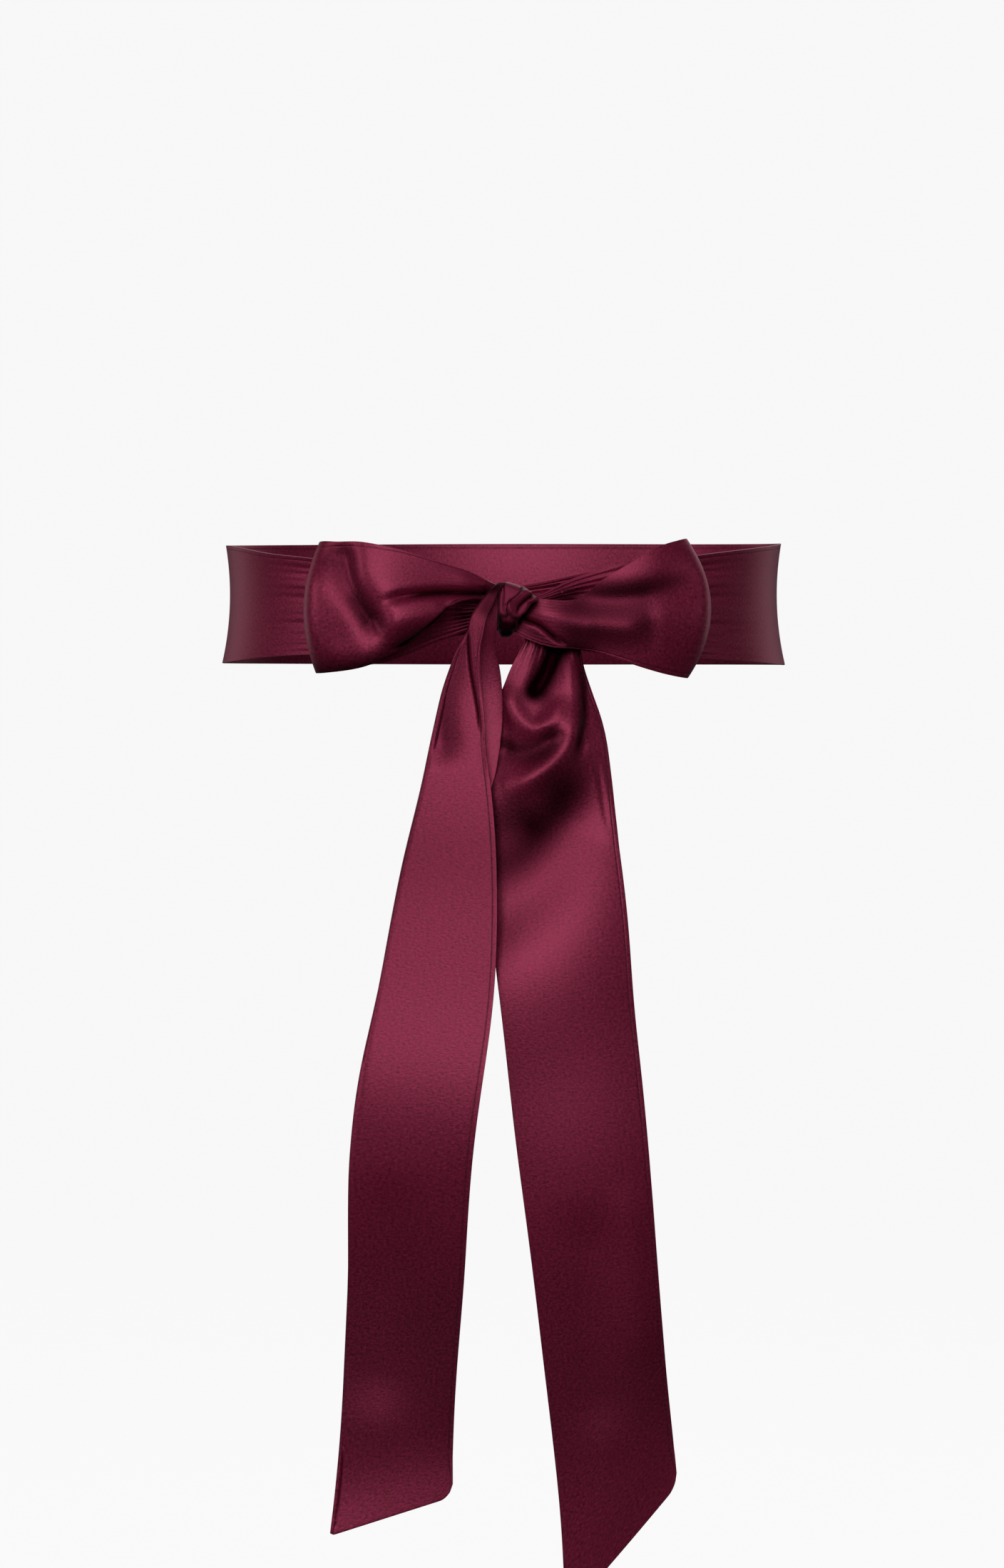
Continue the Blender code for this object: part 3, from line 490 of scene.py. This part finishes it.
def band_grid(rows, mesh):
    """A stretch of the band on the waist's ellipse, from its top edge down."""
    turns = np.radians([row.angle for row in rows])
    row = smooth_rows(rows, np.abs(np.diff(turns)), mesh.along)
    share = np.linspace(0, 1, mesh.across + 1)[None, :]
    turn = np.radians(row.angle)
    height = row.top - row.bottom
    flare = WAIST_FLARE * (height / FLARE_HEIGHT) ** 2 * (share - WAIST_NARROWEST) ** 2
    out = flare + row.lift + row.pleat * pleats(share, BAND_PLEATS)
    normal_x = WAIST_HALF_DEPTH * np.cos(turn)
    normal_y = WAIST_HALF_BREADTH * np.sin(turn)
    length = np.hypot(normal_x, normal_y)
    x = WAIST_HALF_BREADTH * np.cos(turn) + out * normal_x / length
    y = WAIST_HALF_DEPTH * np.sin(turn) + out * normal_y / length
    return points(x, y, row.top - height * share)


def ribbon_grid(rows, mesh, pleat_count, side):
    """A stretch between two edges, puffed out in the middle and gathered by its pleats."""
    middles = [np.array([r.ax + r.bx, r.ay + r.by, r.az + r.bz]) / 2 for r in rows]
    lengths = [np.linalg.norm(b - a) for a, b in zip(middles, middles[1:])]
    row = smooth_rows(rows, lengths, mesh.along)
    share = np.linspace(0, 1, mesh.across + 1)[None, :]
    x = row.ax + (row.bx - row.ax) * share
    y = row.ay + (row.by - row.ay) * share
    z = row.az + (row.bz - row.az) * share
    grid = points(x, y, z)
    out = row.puff * 4 * share * (1 - share) + row.pleat * pleats(share, pleat_count)
    return grid + out[:, :, None] * face_normals(grid, side)


def folded_grid(rows, mesh):
    """A stretch folded lengthwise: front layer, round fold and back layer."""
    lengths = [a.z - b.z for a, b in zip(rows, rows[1:])]
    row = smooth_rows(rows, lengths, mesh.along)
    across_x = row.fold_x - row.seam_x
    across_y = row.fold_y - row.seam_y
    width = np.hypot(across_x, across_y)
    along_x, along_y = across_x / width, across_y / width
    out_x, out_y = -along_y, along_x
    front, fold, back = (np.linspace(0, 1, count + 1)[None, :] for count in mesh[1:])
    near_x = row.fold_x - row.roll * along_x
    near_y = row.fold_y - row.roll * along_y
    front_x = row.seam_x + (near_x - row.seam_x) * front
    front_y = row.seam_y + (near_y - row.seam_y) * front
    turn = np.pi * fold
    fold_x = near_x + row.roll * (out_x * (np.cos(turn) - 1) + along_x * np.sin(turn))
    fold_y = near_y + row.roll * (out_y * (np.cos(turn) - 1) + along_y * np.sin(turn))
    back_x = fold_x[:, -1:] + (row.back_x - fold_x[:, -1:]) * back
    back_y = fold_y[:, -1:] + (row.back_y - fold_y[:, -1:]) * back
    x = np.concatenate([front_x, fold_x[:, 1:], back_x[:, 1:]], axis=1)
    y = np.concatenate([front_y, fold_y[:, 1:], back_y[:, 1:]], axis=1)
    z = row.z + row.slant * (x - row.seam_x) / across_x
    return points(x, y, z)


def widths_across(grid):
    """How far along the cloth each point lies from its row's first edge."""
    widths = np.linalg.norm(np.diff(grid, axis=1), axis=2).cumsum(axis=1)
    return np.concatenate([np.zeros((len(grid), 1)), widths], axis=1)


def round_corners(grid):
    """Draws the two corners of a tail's end in to a soft radius."""
    across = widths_across(grid)
    from_edge = np.minimum(across, across[:, -1:] - across)
    inside = np.clip(1 - from_edge / CORNER_RADIUS, 0, 1)
    lift = CORNER_RADIUS * (1 - np.sqrt(1 - inside**2))
    along = np.linalg.norm(np.diff(grid, axis=0), axis=2)[::-1].cumsum(axis=0)[::-1]
    along = np.concatenate([along, np.zeros((1, grid.shape[1]))])
    near_end = np.clip(1 - along / CORNER_FADE, 0, 1)
    grid = grid.copy()
    grid[:, :, 2] += lift * near_end
    return grid


def fold_line(fold):
    """Points along a fold's smooth line, and how strong it is at each."""
    path = np.array(fold.path)
    knots = np.concatenate([[0], np.linalg.norm(np.diff(path, axis=0), axis=1).cumsum()])
    share = np.linspace(0, 1, FOLD_STEPS + 1)
    strength = np.clip(np.minimum(share, 1 - share) / FOLD_TAPER, 0, 1)
    return spline(knots, path, share * knots[-1]), strength**2 * (3 - 2 * strength)


def fold_height(places, folds):
    """How far the folds lift the points that lie at these (x, z) places."""
    height = np.zeros(len(places))
    every = np.arange(len(places))
    for fold in folds:
        line, strength = fold_line(fold)
        run = np.diff(line, axis=0)
        reach = places[:, None, :] - line[:-1]
        share = np.clip((reach * run).sum(axis=2) / (run * run).sum(axis=1), 0, 1)
        away = np.linalg.norm(reach - share[:, :, None] * run, axis=2)
        nearest = away.argmin(axis=1)
        steps = nearest + share[every, nearest]
        strong = np.interp(steps, np.arange(FOLD_STEPS + 1), strength)
        height += fold.depth * strong * np.exp(-((away[every, nearest] / fold.width) ** 2))
    return height


def lap_height(places, laps):
    """How far the laps lift the points that lie at these (x, z) places."""
    height = np.zeros(len(places))
    for lap in laps:
        line, strength = fold_line(lap)
        away = np.linalg.norm(places[:, None, :] - line, axis=2)
        nearest = np.clip(away.argmin(axis=1), 1, FOLD_STEPS - 1)
        run = line[nearest + 1] - line[nearest - 1]
        reach = places - line[nearest]
        left = (run[:, 0] * reach[:, 1] - run[:, 1] * reach[:, 0]) / np.linalg.norm(run, axis=1)
        rise = np.clip(left / lap.soft / 2 + 0.5, 0, 1)
        height += lap.rise * rise * strength[nearest] * np.exp(-((left / lap.reach) ** 2))
    return height


def facing_share(outward_y):
    """How much of a fold shows where the outward normal has this part along +Y."""
    span = FOLD_FULL_FACING - FOLD_LEAST_FACING
    return np.clip((outward_y - FOLD_LEAST_FACING) / span, 0, 1)


def painted_shade(grid, shade_strokes):
    """How much painted shade the strokes lay on each point of a grid, from 0 to 1."""
    return np.clip(fold_height(grid.reshape(-1, 3)[:, ::2], shade_strokes), 0, 1)


def loop_painted_shade(grid, shade_strokes, side):
    """The front layer's own painted shade, and the painted shade that the back layer has near the
    knot.
    """
    front = face_normals(grid, side)[:, :, 1].ravel() > 0
    return np.where(front, painted_shade(grid, shade_strokes), painted_shade(grid, LOOP_BACK_PAINTED_SHADE))


def relief(grid, folds, side, looks=1):
    """Presses the folds into the faces that look to the bow's side, or away where looks is -1."""
    normal = face_normals(grid, side)
    height = fold_height(grid[:, :, ::2].reshape(-1, 2), folds).reshape(normal.shape[:2])
    return grid + (height * facing_share(looks * normal[:, :, 1]))[:, :, None] * normal


def shorten(rows, angle):
    """Half a seam gap taken off the end of a band stretch that lies at the angle."""
    half_gap = np.degrees(SEAM_GAP / 2 / WAIST_HALF_DEPTH)
    inwards = np.sign(np.mean([row.angle for row in rows]) - angle)
    return [
        row._replace(angle=row.angle + inwards * half_gap) if row.angle == angle else row
        for row in rows
    ]


def deselect():
    for thing in list(bpy.context.selected_objects):
        thing.select_set(False)


def place(mesh, coordinates):
    mesh.vertices.foreach_set("co", (coordinates * MM).astype(np.float32).ravel())
    mesh.update()


def read_points(mesh):
    found = np.empty(len(mesh.vertices) * 3, np.float32)
    mesh.vertices.foreach_get("co", found)
    return found.reshape(-1, 3).astype(float)


def keep_painted_shade(mesh, dark):
    """Keeps the painted shade on the mesh as a point attribute, for the satin to read."""
    shade_paint = mesh.attributes.new("shade_paint", "FLOAT", "POINT")
    shade_paint.data.foreach_set("value", dark.astype(np.float32))


def lay_out(mesh, grid, row, column, length):
    """Each point's place on the flat cut, in metres, as the mesh's UV map."""
    widths = widths_across(grid)
    share = widths / widths[:, -1:]
    along = row / (len(grid) - 1) * length
    flat = np.stack([along, share[row, column] * SASH_WIDTH], axis=1) * MM
    corner = np.empty(len(mesh.loops), np.int32)
    mesh.loops.foreach_get("vertex_index", corner)
    mesh.uv_layers[0].name = "cut"
    mesh.uv_layers[0].data.foreach_set("uv", flat[corner].astype(np.float32).ravel())


def give_wall(cloth):
    """The cloth's thickness, half of it on each side, with softly rounded edges."""
    wall = cloth.modifiers.new("wall", "SOLIDIFY")
    wall.thickness = CLOTH * MM
    wall.offset = 0
    wall.use_even_offset = False
    edge = cloth.modifiers.new("soft_edge", "BEVEL")
    edge.width = EDGE_ROUNDING * MM
    edge.segments = 2
    edge.limit_method = "ANGLE"
    edge.angle_limit = math.radians(EDGE_LEAST_ANGLE)
    for modifier in list(cloth.modifiers):
        bpy.ops.object.modifier_apply(modifier=modifier.name)


def add_cloth(name, grid, length, material, dark):
    """A grid primitive moved onto the grid's points, with a wall and its flat cut."""
    along, across = grid.shape[0] - 1, grid.shape[1] - 1
    deselect()
    bpy.ops.mesh.primitive_grid_add(x_subdivisions=along, y_subdivisions=across, size=2)
    cloth = bpy.context.object
    cloth.name = cloth.data.name = name
    found = read_points(cloth.data)
    row = np.rint((found[:, 0] + 1) / 2 * along).astype(int)
    column = np.rint((found[:, 1] + 1) / 2 * across).astype(int)
    place(cloth.data, grid[row, column])
    keep_painted_shade(cloth.data, dark.reshape(grid.shape[:2])[row, column])
    lay_out(cloth.data, grid, row, column, length)
    give_wall(cloth)
    bpy.ops.object.shade_smooth()
    cloth.data.materials.append(material)
    return cloth


class Wire:
    """A shader value. Sums and products of wires add Math nodes to the material."""

    def __init__(self, material, socket):
        self.material = material
        self.socket = socket

    def maths(self, operation, *values):
        return self.material.add("ShaderNodeMath", {"operation": operation}, *values)

    def __add__(self, other):
        return self.maths("ADD", self, other)

    def __radd__(self, other):
        return self.maths("ADD", other, self)

    def __sub__(self, other):
        return self.maths("SUBTRACT", self, other)

    def __rsub__(self, other):
        return self.maths("SUBTRACT", other, self)

    def __mul__(self, other):
        return self.maths("MULTIPLY", self, other)

    def __rmul__(self, other):
        return self.maths("MULTIPLY", other, self)


class Finish:
    """A material that is put together from nodes."""

    def __init__(self, name):
        self.made = bpy.data.materials.new(name)
        self.made.use_nodes = True
        self.nodes = self.made.node_tree.nodes
        self.links = self.made.node_tree.links
        self.shader = self.nodes["Principled BSDF"]

    def add(self, kind, settings=None, *values, output=0, **named):
        """A node with its settings, and the values or wires of its sockets by place or name."""
        node = self.nodes.new(kind)
        for setting, value in (settings or {}).items():
            setattr(node, setting, value)
        for key, value in [*enumerate(values), *named.items()]:
            self.give(node.inputs[key.replace("_", " ") if isinstance(key, str) else key], value)
        return Wire(self, node.outputs[output])

    def give(self, socket, value):
        if isinstance(value, Wire):
            self.links.new(value.socket, socket)
        else:
            socket.default_value = value

    def set_shader(self, **values):
        """Gives the shader's sockets, named with _ for each space, their values or wires."""
        for name, value in values.items():
            self.give(self.shader.inputs[name.replace("_", " ")], value)

    def mix(self, share, first, second):
        """The first colour where share is 0, and the second where it is 1."""
        shade = self.add("ShaderNodeMix", {"data_type": "RGBA"}, share, output=2)
        for socket, colour in zip(shade.socket.node.inputs[6:8], (first, second)):
            self.give(socket, colour if isinstance(colour, Wire) else (*colour, 1))
        return shade


def finish_satin(name, seam_at_far_edge):
    """Satin with a fine slanting grain, a soft uneven sheen, a stitched seam by one edge and
    painted shade read from the mesh.
    """
    satin = Finish(name)
    add = satin.add
    cut = add("ShaderNodeUVMap", {"uv_map": "cut"})
    metres = add("ShaderNodeSeparateXYZ", None, cut)
    across = Wire(satin, metres.socket.node.outputs[1])
    slanted = add("ShaderNodeMapping", None, cut,
                  Rotation=(0, 0, math.radians(GRAIN_SLANT)), Scale=GRAIN_STRETCH)
    grain = add("ShaderNodeTexNoise", None, Vector=slanted, Scale=GRAIN_SCALE, Detail=2.0,
                Roughness=0.6)
    threads = add("ShaderNodeTexNoise", None, Vector=cut, Scale=THREADS_SCALE, Detail=3.0,
                  Roughness=0.55)
    cloudy = add("ShaderNodeTexNoise", None, Vector=cut, Scale=CLOUDS_SCALE, Detail=3.0,
                 Roughness=0.5)
    from_seam = SASH_WIDTH * MM - across if seam_at_far_edge else across
    seam = add("ShaderNodeMapRange", {"interpolation_type": "SMOOTHSTEP"},
               add("ShaderNodeMath", {"operation": "ABSOLUTE"}, from_seam - SEAM_INSET * MM),
               0.0, SEAM_FADE * MM, 1.0, 0.0)
    # The weights keep the tone about its middle, so that neither colour takes over.
    tone = 1.3 * grain + 1.7 * threads + 0.35 * cloudy - 1.2
    # Painted shade: the mesh's attribute darkens the colour almost to black where shade falls in
    # creases and under layers.
    shade_paint = add("ShaderNodeAttribute", {"attribute_name": "shade_paint"}, output=2)
    shade = satin.mix(tone, SATIN_DARK, SATIN_LIGHT)
    dark = satin.mix(0.45 * seam, shade, [0.5 * channel for channel in SATIN_DARK])
    colour_with_painted_shade = satin.mix(0.97 * shade_paint, dark, [0.01 * channel for channel in SATIN_DARK])
    height = 0.5 * grain + 0.8 * threads - 0.9 * seam
    bump = add("ShaderNodeBump", None, Height=height, Distance=WEAVE_RELIEF * MM, Strength=0.8)
    satin.set_shader(
        Base_Color=colour_with_painted_shade,
        Roughness=0.3 + 0.2 * threads + 0.06 * cloudy,
        # Painted shade also raises the metallic share, so that the painted darks stay red rather
        # than grey.
        Metallic=0.5 + 0.5 * shade_paint,
        Normal=bump,
        Specular_Tint=(1.0, 0.86, 0.92, 1),
        Specular_IOR_Level=0.6,
        Sheen_Weight=0.08,
        Sheen_Roughness=0.35,
        Sheen_Tint=(0.8, 0.62, 0.74, 1),
    )
    return satin.made


def finish_thread(name):
    """Twisted sewing thread, a little darker than the satin."""
    thread = Finish(name)
    place_on = thread.add("ShaderNodeTexCoord", None, output=3)
    twist = thread.add("ShaderNodeTexNoise", None, Vector=place_on, Scale=TWIST_SCALE, Detail=1.0)
    shade = thread.mix(twist, THREAD_DARK, [1.7 * channel for channel in THREAD_DARK])
    thread.set_shader(Base_Color=shade, Roughness=0.5)
    return thread.made


def read_across(values, across, wanted):
    """Each row's values at its wanted width."""
    return np.array([
        [np.interp(width, widths, column) for column in row.T]
        for width, widths, row in zip(wanted, across, values)
    ])


def read_along(values, lengths, wanted):
    """The rows of values at the wanted lengths."""
    return np.stack([np.interp(wanted, lengths, column) for column in values.T], axis=1)


def bead_shape():
    """The points and faces of the small sphere that every stitch is shaped from."""
    deselect()
    bpy.ops.mesh.primitive_uv_sphere_add(segments=6, ring_count=5, radius=1)
    bead = bpy.context.object
    shape = read_points(bead.data)
    faces = [tuple(face.vertices) for face in bead.data.polygons]
    bpy.data.objects.remove(bead, do_unlink=True)
    return shape * np.array([STITCH_WIDTH, STITCH_WIDTH, STITCH_LENGTH]) / 2, faces


def add_stitches(name, grid, at_far_edge, run, side, material):
    """A line of stitches beside a grid's first or far edge, from one share of it to another."""
    across = widths_across(grid)
    near_edge = np.full(len(grid), SEAM_INSET)
    wanted = across[:, -1] - SEAM_INSET if at_far_edge else near_edge
    line = read_across(grid, across, wanted)
    facing = read_across(face_normals(grid, side), across, wanted)
    lengths = np.concatenate([[0], np.linalg.norm(np.diff(line, axis=0), axis=1).cumsum()])
    at = np.arange(run[0] * lengths[-1], run[1] * lengths[-1], STITCH_PITCH)
    middle = read_along(line, lengths, at)
    outward = read_along(facing, lengths, at)
    outward /= np.linalg.norm(outward, axis=1, keepdims=True)
    forward = read_along(line, lengths, at + LOOK_AHEAD) - middle
    forward /= np.linalg.norm(forward, axis=1, keepdims=True)
    axes = np.stack([np.cross(outward, forward), outward, forward], axis=1)
    shape, faces = bead_shape()
    seat = middle + outward * (CLOTH / 2 + STITCH_LIFT)
    every = seat[:, None, :] + np.einsum("pk,nkj->npj", shape, axes)
    count = len(shape)
    joined = [tuple(v + count * i for v in face) for i in range(len(at)) for face in faces]
    mesh = bpy.data.meshes.new(name)
    mesh.from_pydata((every * MM).reshape(-1, 3).tolist(), [], joined)
    mesh.shade_smooth()
    mesh.materials.append(material)
    stitches = bpy.data.objects.new(name, mesh)
    bpy.context.scene.collection.objects.link(stitches)
    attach(stitches, "root")


def knot_shape(sphere):
    """Turns points of a sphere whose poles lie on X into the knot's pebble."""
    largest = np.abs(sphere) ** KNOT_BOXINESS
    boxy = sphere / (largest.sum(axis=1) ** (1 / KNOT_BOXINESS))[:, None]
    level = KNOT_MIDDLE_Z + KNOT_HALF_HEIGHT * boxy[:, 2]
    heights = [row.z for row in KNOT_SIDES]
    left = np.interp(level, heights, [row.left_x for row in KNOT_SIDES])
    right = np.interp(level, heights, [row.right_x for row in KNOT_SIDES])
    x = right + (left - right) * (boxy[:, 0] + 1) / 2
    slope = KNOT_SLOPE * np.minimum(x - KNOT_PEAK_X, 0) * np.clip(boxy[:, 2], 0, 1)
    return points(x, KNOT_MIDDLE_Y + KNOT_HALF_DEPTH * boxy[:, 1], level + slope)


def add_knot(material):
    """A sphere with its poles at the knot's two ends, shaped, with the folds of the wrap."""
    deselect()
    bpy.ops.mesh.primitive_uv_sphere_add(
        segments=KNOT_MESH.across, ring_count=KNOT_MESH.along, radius=1
    )
    knot = bpy.context.object
    knot.name = knot.data.name = "knot_wrap"
    sphere = read_points(knot.data)[:, [2, 0, 1]]
    shape = knot_shape(sphere)
    from_poles = np.hypot(sphere[:, 1], sphere[:, 2])
    pressed = fold_height(shape[:, ::2], KNOT_FOLDS) * facing_share(sphere[:, 1]) * from_poles
    lifted = lap_height(shape[:, ::2], KNOT_LAPS) * facing_share(sphere[:, 1]) * from_poles
    # Painted shade for the knot's creases and its dark underside.
    dark = painted_shade(shape, KNOT_PAINTED_SHADE)
    place(knot.data, shape + (pressed + lifted)[:, None] * sphere)
    keep_painted_shade(knot.data, dark)
    knot.data.uv_layers[0].name = "cut"
    bpy.ops.object.shade_smooth()
    knot.data.materials.append(material)
    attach(knot, "root")
    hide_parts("knot")


def add_stretch(node, grid, length, material, dark):
    """The cloth of one stretch. Its flat cut is as wide as the sash and as long as length."""
    cloth = add_cloth(node + "_satin", grid, length, material, dark)
    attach(cloth, "root")
    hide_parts(node)


def add_band(satin):
    front = band_grid(shorten(shorten(BAND_FRONT, 180), 360), BAND_FRONT_MESH)
    left = band_grid(shorten(BAND_LEFT, 0), BAND_SIDE_MESH)
    right = band_grid(shorten(BAND_RIGHT, 180), BAND_SIDE_MESH)
    for node, grid, length, rests_on in (
        ("band_front", front, BAND_FRONT_CUT, ["band_left", "band_right"]),
        ("band_left", left, BAND_SIDE_CUT, ["knot"]),
        ("band_right", right, BAND_SIDE_CUT, ["knot"]),
    ):
        add_stretch(node, grid, length, satin, painted_shade(grid, ()))


def add_loop(node, rows, side, folds, shade_strokes, material):
    grid = relief(ribbon_grid(rows, LOOP_MESH, NECK_PLEATS, side), folds, side)
    grid = relief(grid, LOOP_BACK_FOLDS, side, -1)
    # Painted shade for the loop's creases and under its layers.
    dark = loop_painted_shade(grid, shade_strokes, side)
    add_stretch(node, grid, LOOP_CUT, material, dark)


def add_tail(node, grid, length, side, folds, shade_strokes, material):
    """Hangs a tail, and returns its grid for the stitches."""
    grid = relief(round_corners(grid), folds, side)
    # Painted shade for the tail's creases and its broad darker bands.
    add_stretch(node, grid, length, material, painted_shade(grid, shade_strokes))
    return grid


def add_lamp(lamp):
    """A soft rectangular studio light."""
    light = bpy.data.lights.new(lamp.name, "AREA")
    light.shape = "RECTANGLE"
    light.size, light.size_y = lamp.sides
    light.energy = lamp.power
    stand = bpy.data.objects.new(lamp.name, light)
    bpy.context.scene.collection.objects.link(stand)
    stand.location = lamp.place
    towards = Vector(LAMPS_AIM) - Vector(lamp.place)
    stand.rotation_euler = towards.to_track_quat("-Z", "Y").to_euler()
    stand.visible_camera = False


def add_stage():
    """A pale round floor that rises into a plain dome."""
    deselect()
    bpy.ops.mesh.primitive_uv_sphere_add(segments=96, ring_count=64, radius=STAGE_RADIUS)
    dome = bpy.context.object
    dome.name = dome.data.name = "stage"
    shape = read_points(dome.data)
    shape[:, 2] = np.maximum(shape[:, 2], FLOOR_LEVEL)
    dome.data.vertices.foreach_set("co", shape.astype(np.float32).ravel())
    dome.data.flip_normals()
    bpy.ops.object.shade_smooth()
    pale = Finish("pale_stage")
    pale.set_shader(
        Base_Color=(STAGE_GREY, STAGE_GREY, STAGE_GREY, 1),
        Roughness=1,
        Emission_Color=(1, 1, 1, 1),
        Emission_Strength=STAGE_GLOW,
    )
    dome.data.materials.append(pale.made)
    dome.visible_glossy = False
    dome.visible_diffuse = False
    dome.visible_shadow = False


def add_camera():
    camera = bpy.data.objects.new("camera", bpy.data.cameras.new("camera"))
    bpy.context.scene.collection.objects.link(camera)
    camera.location = CAMERA_PLACE
    camera.rotation_euler = (math.radians(90), 0, math.radians(180))
    camera.data.lens = SENSOR / PICTURE_SPREAD
    camera.data.shift_y = -WAIST_ABOVE_MIDDLE / PICTURE_HEIGHT
    camera.data.clip_end = 40
    bpy.context.scene.camera = camera


def add_world():
    world = bpy.data.worlds.new("studio")
    bpy.context.scene.world = world
    world.use_nodes = True
    background = world.node_tree.nodes["Background"]
    background.inputs["Color"].default_value = (1, 1, 1, 1)
    background.inputs["Strength"].default_value = WORLD_GLOW


bpy.context.scene.view_settings.view_transform = "Standard"
add_camera()
add_stage()

satin = finish_satin("satin", False)
satin_far = finish_satin("satin_far_seam", True)
thread = finish_thread("thread")

add_band(satin)
add_loop("loop_left", LOOP_LEFT, 1, LOOP_LEFT_FOLDS, LOOP_LEFT_PAINTED_SHADE, satin)
add_loop("loop_right", LOOP_RIGHT, -1, LOOP_RIGHT_FOLDS, LOOP_RIGHT_PAINTED_SHADE, satin_far)
left_tail = add_tail(
    "tail_left", folded_grid(TAIL_LEFT, FOLDED_TAIL_MESH), TAIL_LEFT_CUT, -1,
    TAIL_LEFT_FOLDS, TAIL_LEFT_PAINTED_SHADE, satin,
)
right_tail = add_tail(
    "tail_right", ribbon_grid(TAIL_RIGHT, TAIL_MESH, TAIL_PLEATS, 1), TAIL_RIGHT_CUT, 1,
    TAIL_RIGHT_FOLDS, TAIL_RIGHT_PAINTED_SHADE, satin_far,
)
add_knot(satin)
add_stitches("stitches_tail_left", left_tail, False, (0.06, 0.99), -1, thread)
add_stitches("stitches_tail_right", right_tail, True, (0.05, 0.99), 1, thread)

for lamp in LAMPS:
    add_lamp(lamp)
add_world()
